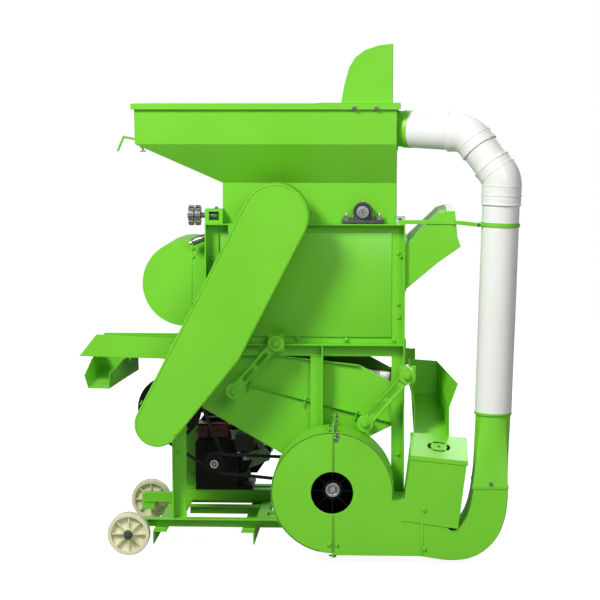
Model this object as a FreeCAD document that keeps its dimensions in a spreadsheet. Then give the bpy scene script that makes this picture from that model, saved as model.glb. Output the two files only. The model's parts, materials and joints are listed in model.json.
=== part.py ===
# Peanut sheller in millimetres: X along the machine, Y across it with the near side negative, Z up.
import FreeCAD, Part
import math
import os
import re
from types import SimpleNamespace
from FreeCAD import Placement, Rotation, Vector
import Sketcher

# Driving sizes. Heights are above the floor; a place along Y is given as a distance from the middle.
SIZES = {
    # Frame of angle iron
    "frame_left": -278,
    "frame_right": 327,
    "frame_half": 215,
    "top_rail_top": 1005,
    "lower_rail_top": 640,
    "legs_left": -381,
    "mid_post_right": 80,
    "angle_leg": 40,
    "angle_wall": 4,
    "base_leg": 30,
    "skid_left": -520,
    "skid_top": 99,
    "middle_rail_half": 15,
    "base_cross_right": -95,
    "skid_overhang": 35,
    "left_crossbar": -437,
    "middle_crossbar": -167,
    "right_crossbar": 255,
    "foot_width": 60,
    # Wheels
    "wheel_x": -508,
    "wheel_radius": 64,
    "wheel_width": 35,
    "wheel_gap": 35,
    "wheel_rim": 11,
    "wheel_web": 5,
    "wheel_hub": 17,
    "wheel_rib": 4,
    "wheel_ribs": 8,
    "axle_radius": 8,
    "running_clearance": 0.05,
    "washer_radius": 15,
    # Hopper
    "rim_left": -484,
    "rim_right": 301,
    "rim_overhang": 46,
    "rim_rise": 121,
    "rim_lip": 9,
    "rim_lip_height": 18,
    "fold_rise": 118,
    "fold_left": -482,
    "fold_right": 300,
    "fold_inset": 4,
    "neck_left": -226,
    "neck_right": 299,
    "neck_inset": 37,
    "neck_rise": 122,
    "hopper_wall": 2,
    "floor_step": 4.8,
    "baffle_x": 60,
    "baffle_foot_x": -146,
    "baffle_drop": 24,
    "baffle_rise": 85,
    "baffle_gap": 31,
    # Deflector hood on the hopper
    "hood_left": 135,
    "hood_right": 287,
    "hood_rise": 177,
    "hood_near": -240,
    "hood_far": -60,
    # Feed gate
    "gate_wall": 3,
    "gate_gap": 13,
    "gate_tip": 80,
    "gate_top": 75,
    "pull_rod_inset": 10,
    "pull_rod_radius": 3.5,
    "lock_screw_x": -472,
    # Casing under the hopper
    "panel_wall": 2,
    # Rotors and their concaves
    "rotor_x": -56,
    "second_rotor_x": 199,
    "rotor_radius": 84,
    "second_rotor_radius": 60,
    "rotor_gap": 55,
    "rotor_bars": 4,
    "bar_depth": 16,
    "bar_wall": 8,
    "shaft_radius": 12.5,
    "shaft_height": 36.5,
    "shaft_overhang": 103,
    "concave_gap": 14,
    "concave_rod_radius": 4,
    "bearing_width": 127,
    "bearing_depth": 34,
    "bearing_radius": 29,
    # Blower
    "blower_x": -345,
    "blower_height": 818,
    "blower_radius": 131,
    "blower_inset": 65,
    "blower_inlet": 45,
    "blower_blade": 108,
    "blower_bearing_inset": 30,
    "blower_bearing_gap": 18,
    "blower_blades": 6,
    "fan_shaft_radius": 10,
    # Husk chute
    "husk_inset": 15,
    # Sieve
    "sieve_inset": 55,
    "sieve_strip": 13,
    "sieve_wall": 2,
    "arm_pivot_x": -61,
    "arm_pivot_height": 646,
    "right_pivot_x": 336,
    "right_pivot_height": 549,
    "arm_drop": 146,
    "arm_lean": 127,
    "arm_gap": 11,
    "arm_width": 24,
    "arm_eye": 25.5,
    "pivot_radius": 8,
    "pivot_head": 13,
    # Drive
    "jackshaft_x": -411,
    "jackshaft_height": 411,
    "jackshaft_inset": 61,
    "jackshaft_pulley": 100,
    "engine_belt_y": -12,
    "fan_belt_y": -40,
    "rotor_belt_gap": 82,
    "blower_belt_gap": 57,
    "return_belt_gap": 81,
    "pulley_width": 20,
    "belt_width": 9.5,
    "belt_height": 9,
    "rotor_pulley": 60,
    "jackshaft_small_pulley": 45,
    "throw": 3,
    "rod_clearance": 7,
    "connecting_rod_y": 70,
    # Belt guards
    "guard_gap": 25,
    "guard_depth": 100,
    "far_guard_reach": 155,
    "far_guard_gap": 37,
    "guard_top_radius": 98,
    "guard_bottom_radius": 68,
    "guard_wall": 2,
    # Lift fan
    "lift_fan_x": 114,
    "lift_fan_height": 216,
    "lift_fan_radius": 182,
    "lift_fan_gap": 10,
    "lift_fan_depth": 150,
    "lift_fan_inlet": 63,
    "lift_fan_bottom": 28,
    "lift_fan_outlet_top": 194,
    "lift_fan_outlet": 376,
    "lift_fan_blade": 150,
    "lift_fan_pulley": 45,
    "duct_wall": 2,
    # Return pipe
    "pipe_radius": 55,
    "pipe_wall": 3,
    "pipe_bottom": 453,
    "socket_radius": 58.5,
    "socket_length": 30,
    "bend_radius": 62,
    "socket_gap": 0.3,
    # Engine
    "engine_x": -267,
    "engine_height": 241,
    "engine_base": 135,
    "engine_pulley": 33,
}

# Sizes and places that follow the ones above
FOLLOWING = {
    "crossbar_reach": "frame_half + skid_overhang",
    "wheel_inner": "frame_half + wheel_gap",
    "rim_half": "frame_half + rim_overhang",
    "rim_top": "fold_height + rim_rise",
    "fold_height": "neck_top + fold_rise",
    "fold_half": "rim_half - fold_inset",
    "neck_half": "frame_half - neck_inset",
    "neck_top": "top_rail_top + neck_rise",
    "baffle_foot_height": "neck_top - baffle_drop",
    "baffle_knee_height": "neck_top + baffle_rise",
    "baffle_top": "rim_top - baffle_gap",
    "hood_top": "rim_top + hood_rise",
    "gate_half": "neck_half - gate_gap",
    "gate_y": "pull_rod_inset - gate_half",
    "rotor_half": "frame_half - rotor_gap",
    "shaft_reach": "frame_half + shaft_overhang",
    "blower_half": "frame_half - blower_inset",
    "blower_bearing": "frame_half - blower_bearing_inset",
    "blower_outer_bearing": "frame_half + blower_bearing_gap",
    "husk_half": "frame_half - husk_inset",
    "sieve_half": "frame_half - sieve_inset",
    "arm_near": "frame_half + arm_gap + arm_width",
    "jackshaft_bearing": "frame_half - jackshaft_inset",
    "rotor_belt_y": "-frame_half - rotor_belt_gap",
    "blower_belt_y": "frame_half + blower_belt_gap",
    "return_belt_y": "frame_half + return_belt_gap",
    "guard_near": "frame_half + guard_gap + guard_depth",
    "far_guard": "frame_half + far_guard_reach",
    "lift_fan_near": "frame_half + lift_fan_gap + lift_fan_depth",
    "bearing_place": "frame_half - bearing_depth / 2",
    "far_guard_back": "frame_half + far_guard_gap",
    "lift_fan_y": "lift_fan_depth / 2 - lift_fan_near",
}

doc = FreeCAD.newDocument("peanut_sheller")
sheet = doc.addObject("Spreadsheet::Sheet", "sizes")
cells = {alias: str(number) for alias, number in SIZES.items()}
cells.update({alias: f"={rule}" for alias, rule in FOLLOWING.items()})
for row, alias in enumerate(cells, start=1):
    sheet.set(f"A{row}", alias)
    sheet.setAlias(f"B{row}", alias)
for row, content in enumerate(cells.values(), start=1):
    sheet.set(f"B{row}", content)
doc.recompute()
size = SimpleNamespace(**{alias: float(sheet.get(alias)) for alias in cells})

nodes = {}
ALONG_Y = Rotation(Vector(1, 0, 0), -90)
TURN = {"x": Rotation(Vector(0, 1, 0), 90), "y": ALONG_Y, "z": Rotation()}
NEAR_AND_FAR = (-1, 1)


def formula(text):
    """Point each size that a formula names at its cell of the sheet."""
    return re.sub(r"[a-z]\w*", lambda word: f"sizes.{word[0]}" if word[0] in cells else word[0], text)


def box(x, y, z):
    """A box between two formulas along each axis."""
    thing = doc.addObject("Part::Box", "box")
    for axis, side, (low, high) in zip("xyz", ("Length", "Width", "Height"), (x, y, z)):
        thing.setExpression(side, formula(f"({high}) - ({low})"))
        thing.setExpression(f"Placement.Base.{axis}", formula(low))
    return thing


def rod(radius, x, y, z):
    """A cylinder along the one axis that is given by two formulas."""
    spans = {"x": x, "y": y, "z": z}
    along = next(axis for axis, span in spans.items() if isinstance(span, tuple))
    low, high = spans[along]
    thing = doc.addObject("Part::Cylinder", "rod")
    thing.Placement = Placement(Vector(), TURN[along])
    thing.setExpression("Radius", formula(radius))
    thing.setExpression("Height", formula(f"({high}) - ({low})"))
    for axis, span in spans.items():
        thing.setExpression(f"Placement.Base.{axis}", formula(low if axis == along else span))
    return thing


def join(*things):
    """Things made one piece."""
    thing = doc.addObject("Part::MultiFuse", "join")
    thing.Shapes = list(things)
    thing.Refine = True
    return thing


def cut(base, *tools):
    """A thing with others cut out of it."""
    thing = doc.addObject("Part::Cut", "cut")
    thing.Base = base
    thing.Tool = tools[0] if len(tools) == 1 else join(*tools)
    return thing


def group(*things):
    """Separate solids that share a node."""
    thing = doc.addObject("Part::Compound", "group")
    thing.Links = list(things)
    return thing


def mirror(thing):
    """The same thing on the far side."""
    copy = doc.addObject("Part::Mirroring", "mirror")
    copy.Source = thing
    copy.Normal = Vector(0, 1, 0)
    return copy


def angle(x, y, z, open_x=None, open_y=None, open_z=None):
    """An angle iron: a bar with the corner on its open sides cut away, all but the wall."""
    spans = []
    for (low, high), side in zip((x, y, z), (open_x, open_y, open_z)):
        if side == "low":
            spans.append((f"{low} - 1", f"{high} - angle_wall"))
        elif side == "high":
            spans.append((f"{low} + angle_wall", f"{high} + 1"))
        else:
            spans.append((f"{low} - 1", f"{high} + 1"))
    return cut(box(x, y, z), box(*spans))


def feature(shape):
    """A shape made in code from the sizes of the sheet."""
    thing = doc.addObject("Part::Feature", "feature")
    thing.Shape = shape
    return thing


def keep(label, thing):
    """Give a finished piece its own label."""
    thing.Label = label
    nodes[label] = thing
    return thing


def slab(points, low, high):
    """A flat plate: its outline in X and Z, between two places along Y."""
    corners = [Vector(x, low, z) for x, z in points]
    return Part.Face(Part.makePolygon(corners + corners[:1])).extrude(Vector(0, high - low, 0))


def folded(points, wall):
    """The outline of a sheet folded along a line of points, with its wall to the left of the line."""
    sides = []
    for (x0, z0), (x1, z1) in zip(points, points[1:]):
        length = math.hypot(x1 - x0, z1 - z0)
        sides.append(((z0 - z1) / length, (x1 - x0) / length))
    sides = [sides[0]] + sides + [sides[-1]]
    inner = []
    for (x, z), (ax, az), (bx, bz) in zip(points, sides, sides[1:]):
        scale = wall / (1 + ax * bx + az * bz)
        inner.append((x + (ax + bx) * scale, z + (az + bz) * scale))
    return list(points) + inner[::-1]


def cylinder(radius, start, end):
    """A round bar between two points."""
    return Part.makeCylinder(radius, (end - start).Length, start, end - start)


def tube(radius, wall, start, end):
    """A pipe between two points."""
    return cylinder(radius, start, end).cut(cylinder(radius - wall, start, end))


def along_y(x, z, radius, low, high):
    """A round bar across the machine."""
    return cylinder(radius, Vector(x, low, z), Vector(x, high, z))


def fused(shapes):
    """Shapes made one solid, without the seams between them."""
    shapes = list(shapes)
    return shapes[0].fuse(shapes[1:]).removeSplitter()


# Frame of angle iron: the flat legs face the viewer, the other legs stand out from them.
NEAR_DEPTH = ("-frame_half", "angle_leg - frame_half")
NEAR_WALL = ("angle_leg - angle_wall - frame_half", "angle_leg - frame_half")
BASE_DEPTH = ("-frame_half", "base_leg - frame_half")
INNER = ("angle_leg - frame_half", "frame_half - angle_leg")
BASE_INNER = ("base_leg - frame_half", "frame_half - base_leg")


def post(left, low, high, flange):
    """An upright angle on the near side, with its outer leg on its left or right edge."""
    open_side = "high" if flange == "left" else "low"
    return angle((left, f"{left} + angle_leg"), NEAR_DEPTH, (low, high), open_x=open_side, open_y="low")


def rail(left, right, top):
    """A long angle on the near side, its flat leg between the posts at its ends."""
    shelf = box((left, right), NEAR_DEPTH, (f"{top} - angle_wall", top))
    face = box((f"{left} + angle_leg", f"{right} - angle_leg"), NEAR_WALL, (f"{top} - angle_leg", top))
    return join(shelf, face)


def make_frame():
    upper = ("lower_rail_top", "top_rail_top - angle_wall")
    lower = ("skid_top", "lower_rail_top - angle_wall")
    mid_post = cut(
        post("mid_post_right - angle_leg", *lower, "right"),
        box(
            ("mid_post_right - angle_leg - 1", "mid_post_right + 1"),
            NEAR_WALL,
            ("lower_rail_top - angle_leg", "lower_rail_top"),
        ),
    )
    posts = [
        post("frame_left", *upper, "left"),
        post("frame_right - angle_leg", *upper, "right"),
        post("legs_left", *lower, "left"),
        mid_post,
        post("frame_right - angle_leg", *lower, "right"),
    ]
    keep("frame_posts", group(*posts, *[mirror(piece) for piece in posts]))

    rails = [
        rail("frame_left", "frame_right", "top_rail_top"),
        rail("legs_left", "frame_right", "lower_rail_top"),
    ]
    keep("frame_rails", group(*rails, *[mirror(piece) for piece in rails]))

    skid = cut(
        box(("skid_left", "frame_right"), BASE_DEPTH, ("skid_top - base_leg", "skid_top")),
        box(
            ("skid_left - 1", "frame_right + 1"),
            ("-frame_half - 1", "base_leg - angle_wall - frame_half"),
            ("skid_top - base_leg - 1", "skid_top - angle_wall"),
        ),
    )
    keep("skid_beams", group(skid, mirror(skid)))

    def cross(left, width, span, top, open_side):
        return angle(
            (left, f"{left} + {width}"), span, (f"{top} - {width}", top), open_x=open_side, open_z="low"
        )

    def base_cross(left, open_side):
        return cross(left, "base_leg", BASE_INNER, "skid_top", open_side)

    middle_rail = angle(
        ("legs_left + base_leg", "base_cross_right - base_leg"),
        ("-middle_rail_half", "middle_rail_half"),
        ("skid_top - base_leg", "skid_top"),
        open_y="low",
        open_z="low",
    )
    keep(
        "cross_members",
        group(
            cross("frame_left", "angle_leg", INNER, "top_rail_top", "high"),
            cross("frame_right - angle_leg", "angle_leg", INNER, "top_rail_top", "low"),
            cross("frame_right - angle_leg", "angle_leg", INNER, "lower_rail_top", "low"),
            base_cross("legs_left", "high"),
            base_cross("base_cross_right - base_leg", "low"),
            base_cross("frame_right - base_leg", "low"),
            middle_rail,
        ),
    )

    crossbar_top = "skid_top - base_leg"

    def crossbar(left, reach, open_side):
        return angle(
            (left, f"{left} + angle_leg"),
            (f"-{reach}", reach),
            (f"{crossbar_top} - angle_leg", crossbar_top),
            open_x=open_side,
            open_z="low",
        )

    foot = angle(
        ("right_crossbar - angle_wall", "right_crossbar + angle_leg - angle_wall"),
        ("-frame_half", "foot_width - frame_half"),
        ("0", f"{crossbar_top} - angle_wall"),
        open_x="low",
        open_z="high",
    )
    keep(
        "crossbars",
        group(
            crossbar("left_crossbar", "crossbar_reach", "high"),
            crossbar("middle_crossbar", "crossbar_reach", "low"),
            crossbar("right_crossbar", "frame_half", "low"),
            foot,
            mirror(foot),
        ),
    )


def make_wheels():
    """Nylon wheels on stub axles: a rim, a thin web with ribs and a long hub."""
    wheel = doc.addObject("PartDesign::Body", "near_wheel")
    profile = sketch_on(wheel, "XY_Plane")
    outline(
        profile,
        [
            ("axle_radius + running_clearance", "-wheel_width / 2"),
            ("wheel_hub", "-wheel_width / 2"),
            ("wheel_hub", "-wheel_web / 2"),
            ("wheel_radius - wheel_rim", "-wheel_web / 2"),
            ("wheel_radius - wheel_rim", "-wheel_width / 2"),
            ("wheel_radius - 2", "-wheel_width / 2"),
            ("wheel_radius", "2 - wheel_width / 2"),
            ("wheel_radius", "wheel_width / 2 - 2"),
            ("wheel_radius - 2", "wheel_width / 2"),
            ("wheel_radius - wheel_rim", "wheel_width / 2"),
            ("wheel_radius - wheel_rim", "wheel_web / 2"),
            ("wheel_hub", "wheel_web / 2"),
            ("wheel_hub", "wheel_width / 2"),
            ("axle_radius + running_clearance", "wheel_width / 2"),
        ],
    )
    turned = revolve(wheel, profile)
    rib_sketch = sketch_on(wheel, "XZ_Plane")
    outline(
        rib_sketch,
        [
            ("wheel_hub - 2", "-wheel_rib / 2"),
            ("wheel_radius - wheel_rim + 2", "-wheel_rib / 2"),
            ("wheel_radius - wheel_rim + 2", "wheel_rib / 2"),
            ("wheel_hub - 2", "wheel_rib / 2"),
        ],
    )
    rib = pad(wheel, rib_sketch, "wheel_width - 7")
    ring(wheel, rib, "wheel_ribs")
    put(wheel, "wheel_x", "-wheel_inner - wheel_width / 2", "wheel_radius")
    keep("near_wheel", wheel)
    keep("far_wheel", mirror(wheel))

    skid_wall = ("base_leg - 2 * angle_wall - frame_half", "base_leg - angle_wall - frame_half")
    plate = box(("wheel_x - 20", "wheel_x + 20"), skid_wall, ("wheel_radius - 20", "skid_top - angle_wall"))
    spacer = rod("washer_radius", "wheel_x", ("-wheel_inner + 0.5", skid_wall[0]), "wheel_radius")
    pin = rod("axle_radius", "wheel_x", ("-wheel_inner - wheel_width - 7", skid_wall[0]), "wheel_radius")
    head = rod(
        "washer_radius",
        "wheel_x",
        ("-wheel_inner - wheel_width - 4", "-wheel_inner - wheel_width - 0.5"),
        "wheel_radius",
    )
    axle = join(plate, spacer, pin, head)
    keep("wheel_axles", group(axle, mirror(axle)))


# Sketches and features of the turned and patterned pieces
def sketch_on(body, role):
    """A new sketch on one of a body's own origin planes."""
    sketch = body.newObject("Sketcher::SketchObject", "outline")
    plane = next(entry for entry in body.Origin.OriginFeatures if entry.Role == role)
    sketch.AttachmentSupport = [(plane, "")]
    sketch.MapMode = "FlatFace"
    return sketch


def outline(sketch, points):
    """A closed outline of straight lines whose corners are bound to two formulas each."""
    count = len(points)
    turns = [i * math.tau / count for i in range(count)]
    first = [Vector(100 * math.cos(turn), 100 * math.sin(turn), 0) for turn in turns]
    for i in range(count):
        sketch.addGeometry(Part.LineSegment(first[i], first[(i + 1) % count]), False)
    for i in range(count):
        sketch.addConstraint(Sketcher.Constraint("Coincident", i, 2, (i + 1) % count, 1))
    for i, corner in enumerate(points):
        for kind, place, text in zip(("DistanceX", "DistanceY"), (first[i].x, first[i].y), corner):
            index = sketch.addConstraint(Sketcher.Constraint(kind, i, 1, place))
            sketch.setExpression(f"Constraints[{index}]", formula(text))


def revolve(body, sketch):
    """The outline turned about the body's own Y axis."""
    turned = body.newObject("PartDesign::Revolution", "turned")
    turned.Profile = sketch
    turned.ReferenceAxis = (sketch, ["V_Axis"])
    turned.Angle = 360
    doc.recompute()
    return turned


def pad(body, sketch, length):
    """The outline padded to both sides of its plane."""
    thing = body.newObject("PartDesign::Pad", "pad")
    thing.Profile = sketch
    thing.setExpression("Length", formula(length))
    thing.SideType = "Symmetric"
    doc.recompute()
    return thing


def ring(body, original, count):
    """A feature repeated about the body's own Y axis."""
    pattern = body.newObject("PartDesign::PolarPattern", "ring")
    pattern.Originals = [original]
    axis = next(entry for entry in body.Origin.OriginFeatures if entry.Role == "Y_Axis")
    pattern.Axis = (axis, [""])
    pattern.Angle = 360
    pattern.setExpression("Occurrences", formula(count))
    body.Tip = pattern
    doc.recompute()
    return pattern


def put(thing, x, y, z):
    """Place a thing by three formulas."""
    for axis, text in zip("xyz", (x, y, z)):
        thing.setExpression(f"Placement.Base.{axis}", formula(text))


def level(z, left, right, half):
    """A level rectangle as a section of a loft."""
    plane = doc.addObject("Part::Plane", "level")
    plane.setExpression("Length", formula(f"({right}) - ({left})"))
    plane.setExpression("Width", formula(f"2 * ({half})"))
    put(plane, left, f"-({half})", z)
    return plane


def loft(*levels):
    """A solid with flat sides through level rectangles."""
    thing = doc.addObject("Part::Loft", "loft")
    thing.Sections = [level(*numbers) for numbers in levels]
    thing.Solid = True
    thing.Ruled = True
    return thing


def strap(a, b, low, high):
    """A plate whose outline lies like a tight strap around two circles (x, z, radius)."""
    (ax, az, ar), (bx, bz, br) = a, b
    toward = math.atan2(bz - az, bx - ax)
    spread = math.acos((ar - br) / math.hypot(bx - ax, bz - az))

    def at(circle, turn):
        x, z, radius = circle
        return Vector(x + radius * math.cos(turn), low, z + radius * math.sin(turn))

    edges = [
        Part.Arc(at(a, toward + spread), at(a, toward + math.pi), at(a, toward - spread)).toShape(),
        Part.makeLine(at(a, toward - spread), at(b, toward - spread)),
        Part.Arc(at(b, toward - spread), at(b, toward), at(b, toward + spread)).toShape(),
        Part.makeLine(at(b, toward + spread), at(a, toward + spread)),
    ]
    return Part.Face(Part.Wire(edges)).extrude(Vector(0, high - low, 0))


def along_floor(travel, lift):
    """A place over the hopper's sloping floor: a distance up from its foot, and a height off it."""
    run = size.neck_left - size.fold_left
    rise = size.fold_height - size.neck_top
    length = math.hypot(run, rise)
    foot = size.neck_left + size.floor_step
    return (
        foot - travel * run / length + lift * rise / length,
        size.neck_top + travel * rise / length + lift * run / length,
    )


def pipe_points():
    """The corners of the return pipe's middle line, from its foot to the hopper."""
    return [
        Vector(591, size.lift_fan_y, size.pipe_bottom),
        Vector(611, size.lift_fan_y, size.rim_top - 218),
        Vector(512, size.lift_fan_y + 38, size.rim_top - 86),
        Vector(325, size.lift_fan_y + 115, size.rim_top - 76),
    ]


def make_hopper():
    outer = join(
        loft(
            ("neck_top", "neck_left", "neck_right", "neck_half"),
            ("fold_height", "fold_left", "fold_right", "fold_half"),
            ("rim_top", "rim_left", "rim_right", "rim_half"),
        ),
        box(("neck_left", "neck_right"), ("-neck_half", "neck_half"), ("top_rail_top", "neck_top")),
    )
    right = "neck_right - hopper_wall"
    half = "neck_half - hopper_wall"
    inner = join(
        loft(
            ("neck_top", "neck_left + floor_step", right, half),
            ("fold_height", "fold_left + floor_step", "fold_right - hopper_wall", "fold_half - hopper_wall"),
            ("rim_top + 1", "rim_left + hopper_wall", "rim_right - hopper_wall", "rim_half - hopper_wall"),
        ),
        box(
            ("neck_left + hopper_wall", right),
            (f"-({half})", half),
            ("top_rail_top - 1", "neck_top"),
        ),
    )
    lip = cut(
        box(
            ("rim_left - rim_lip", "rim_right + rim_lip"),
            ("-rim_half - rim_lip", "rim_half + rim_lip"),
            ("rim_top - rim_lip_height", "rim_top"),
        ),
        box(
            ("rim_left - rim_lip + hopper_wall", "rim_right + rim_lip - hopper_wall"),
            ("hopper_wall - rim_half - rim_lip", "rim_half + rim_lip - hopper_wall"),
            ("rim_top - rim_lip_height - 1", "rim_top - hopper_wall"),
        ),
        box(
            ("rim_left + hopper_wall", "rim_right - hopper_wall"),
            ("hopper_wall - rim_half", "rim_half - hopper_wall"),
            ("rim_top - hopper_wall - 1", "rim_top + 1"),
        ),
    )
    holes = [
        rod("shaft_radius + 4", x, ("-neck_half - 1", "neck_half + 1"), "top_rail_top + shaft_height")
        for x in ("rotor_x", "second_rotor_x")
    ]
    level = ("top_rail_top", "top_rail_top + hopper_wall")
    flanges = [
        box(("neck_left - 24", "neck_left"), (f"-({half})", half), level),
        box(("neck_right", "neck_right + 8"), (f"-({half})", half), level),
    ]
    corners = pipe_points()
    end = corners[3]
    way = (end - corners[2]).normalize()
    collar_hole = feature(cylinder(size.pipe_radius - 6, end - way * 60, end + way * 60))

    # The sloping baffle guides the nuts to the first rotor and parts them from the returned ones.
    foot = (size.baffle_foot_x, size.baffle_foot_height)
    knee = (size.baffle_x, size.baffle_knee_height)
    wall = size.hopper_wall
    sheet_points = folded([foot, knee, (size.baffle_x, size.baffle_top)], -wall)
    drop_foot = (size.baffle_x, size.top_rail_top + 45)
    drop = folded([drop_foot, (size.baffle_x, size.baffle_knee_height - 1)], -wall)
    span = size.rim_half
    baffle = feature(slab(sheet_points, -span, span).fuse(slab(drop, -span, span)))
    baffle_in = doc.addObject("Part::Common", "baffle")
    baffle_in.Base = baffle
    baffle_in.Tool = inner

    low = along_floor(0, 7.2)
    high = along_floor(400, 7.2)
    rod_way = Vector(high[0] - low[0], 0, high[1] - low[1])
    start = Vector(low[0], size.gate_y, low[1]) + rod_way * 0.5
    rod_hole = feature(cylinder(size.pull_rod_radius + 0.6, start, start + rod_way * 0.5))
    boss = box(
        ("lock_screw_x - 8", "lock_screw_x + 8"),
        ("gate_y - 8", "gate_y + 8"),
        ("fold_height - 13", "fold_height - 3"),
    )
    deep = ("fold_height - 14", "fold_height + 3")
    screw_hole = rod("3 + running_clearance", "lock_screw_x", "gate_y", deep)
    shell = cut(outer, inner)
    keep(
        "hopper",
        cut(join(shell, lip, baffle_in, boss, *flanges), *holes, collar_hole, rod_hole, screw_hole),
    )

    # Hood over the right-hand end, where the air of the return pipe leaves the hopper
    z = size.rim_top
    top = [
        (size.hood_left, z),
        (size.hood_left, z + 8),
        (146, z + 64),
        (158, z + 107),
        (176, z + 136),
        (205, z + 158),
        (244, z + 171),
        (size.hood_right, size.hood_top),
    ]
    near, far = size.hood_near, size.hood_far
    side = top + [(size.hood_right, z)]
    roof = slab(folded(top, -2), near, far)
    cheeks = [slab(side, near, near + 2), slab(side, far - 2, far)]
    right = size.rim_right + 8
    cover = slab([(62, z), (right, z), (right, z + 2), (62, z + 2)], -span - 1, span + 1)
    left = size.hood_left + 2
    right = size.hood_right
    mouth = slab([(left, z - 1), (right, z - 1), (right, z + 3), (left, z + 3)], near + 2, far - 2)
    keep("deflector_hood", feature(fused([roof, *cheeks, cover.cut(mouth)])))


def make_gate():
    """The feed gate: a plate on the hopper's sloping floor, pulled by a bent rod."""
    wall = size.gate_wall
    corners = [
        along_floor(-size.gate_tip, 1),
        along_floor(size.gate_top, 1),
        along_floor(size.gate_top, 1 + wall),
        along_floor(-size.gate_tip, 1 + wall),
    ]
    plate_ = slab(corners, -size.gate_half, size.gate_half)
    y = size.gate_y
    radius = size.pull_rod_radius
    line = [along_floor(size.gate_top - 30, 7.2), along_floor(292, 7.2)]
    line += [(-530, size.fold_height + 20), (-549, size.fold_height - 23)]
    points = [Vector(x, y, z) for x, z in line]
    pieces = [cylinder(radius, a, b) for a, b in zip(points, points[1:])]
    knees = [Part.makeSphere(radius, point) for point in points[1:-1]]
    keep("feed_gate", feature(fused([plate_, *pieces, *knees])))

    screw = rod("3", "lock_screw_x", "gate_y", ("fold_height - 23", "fold_height + 0.2"))
    grip = rod("2.5", ("lock_screw_x - 9", "lock_screw_x + 9"), "gate_y", "fold_height - 23")
    keep("gate_lock_screw", join(screw, grip))


def make_casing():
    """The sheet panels round the rotors, in the upper part of the frame."""
    near = ("angle_leg - frame_half", "angle_leg + panel_wall - frame_half")
    panel = box(
        ("frame_left + angle_wall", "frame_right - angle_wall"),
        near,
        ("lower_rail_top", "top_rail_top - angle_wall"),
    )
    span = ("angle_leg + panel_wall - frame_half", "frame_half - angle_leg - panel_wall")
    left = cut(
        box(
            ("frame_left + angle_wall", "frame_left + angle_wall + panel_wall"),
            span,
            ("lower_rail_top", "top_rail_top - angle_wall"),
        ),
        box(
            ("frame_left", "frame_left + 10"),
            ("-blower_half - 0.5", "blower_half + 0.5"),
            ("blower_height - blower_radius - 0.5", "blower_height + blower_radius + 0.5"),
        ),
    )
    right = cut(
        box(
            ("frame_right - angle_wall - panel_wall", "frame_right - angle_wall"),
            span,
            ("lower_rail_top", "top_rail_top - angle_wall"),
        ),
        box(("frame_right - 10", "frame_right"), ("-165", "165"), ("812", "940")),
    )
    keep("casing_panels", group(panel, mirror(panel), left, right))


def collar_points(y):
    """The bearing's locking collar on a shaft, from one side to the other."""
    return [
        ("shaft_radius", f"{y} - 2.5"),
        ("18.5", f"{y} - 2.5"),
        ("18.5", f"{y} + 2.5"),
        ("shaft_radius", f"{y} + 2.5"),
    ]


def pulley_points(y, radius, shaft="shaft_radius"):
    """A grooved pulley as a part of a turned outline."""
    return [
        (shaft, f"{y} - pulley_width / 2"),
        (radius, f"{y} - pulley_width / 2"),
        (radius, f"{y} - 6.5"),
        (f"{radius} - 10", f"{y} - 5"),
        (f"{radius} - 10", f"{y} + 5"),
        (radius, f"{y} + 6.5"),
        (radius, f"{y} + pulley_width / 2"),
        (shaft, f"{y} + pulley_width / 2"),
    ]


def make_rotor(label, x, radius, near, stations):
    """A shelling rotor: a shaft with discs that carry bars, turned with its collars and pulleys."""
    body = doc.addObject("PartDesign::Body", label)
    rim = f"{radius} - bar_depth"
    profile = [("0", near), ("shaft_radius", near)]
    for station in stations[0]:
        profile += station
    profile += [
        ("shaft_radius", "-rotor_half"),
        (rim, "-rotor_half"),
        (rim, "8 - rotor_half"),
        ("shaft_radius", "8 - rotor_half"),
        ("shaft_radius", "rotor_half - 8"),
        (rim, "rotor_half - 8"),
        (rim, "rotor_half"),
        ("shaft_radius", "rotor_half"),
    ]
    for station in stations[1]:
        profile += station
    profile += [("shaft_radius", "shaft_reach"), ("0", "shaft_reach")]
    sketch = sketch_on(body, "XY_Plane")
    outline(sketch, profile)
    revolve(body, sketch)
    bar = sketch_on(body, "XZ_Plane")
    outline(
        bar,
        [
            (f"{rim} - 3", "-bar_wall"),
            (radius, "-bar_wall"),
            (radius, "bar_wall"),
            (f"{rim} - 3", "bar_wall"),
        ],
    )
    ring(body, pad(body, bar, "2 * rotor_half"), "rotor_bars")
    put(body, x, "0", "top_rail_top + shaft_height")
    keep(label, body)


def concave(x, radius):
    """A grate of rods round the lower half of a rotor, between two arched plates."""
    z = size.top_rail_top + size.shaft_height
    inner = radius + size.concave_gap
    outer = inner + 2 * size.concave_rod_radius + 4
    half = size.frame_half - size.angle_leg - size.panel_wall
    below = [(x - 120, z - 18), (x + 120, z - 18), (x + 120, z - 130), (x - 120, z - 130)]
    low_half = slab(below, -half, half)
    ring = along_y(x, z, outer, -half, 4 - half).cut(along_y(x, z, inner, -half - 1, 5 - half))
    arch = ring.common(low_half)
    middle = inner + 2 + size.concave_rod_radius
    rods = []
    for turn in range(200, 345, 14):
        along = math.radians(turn)
        place = (x + middle * math.cos(along), z + middle * math.sin(along))
        rods.append(along_y(*place, size.concave_rod_radius, 2 - half, half - 2))
    return fused([arch, arch.mirror(Vector(), Vector(0, 1, 0)), *rods])


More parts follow.
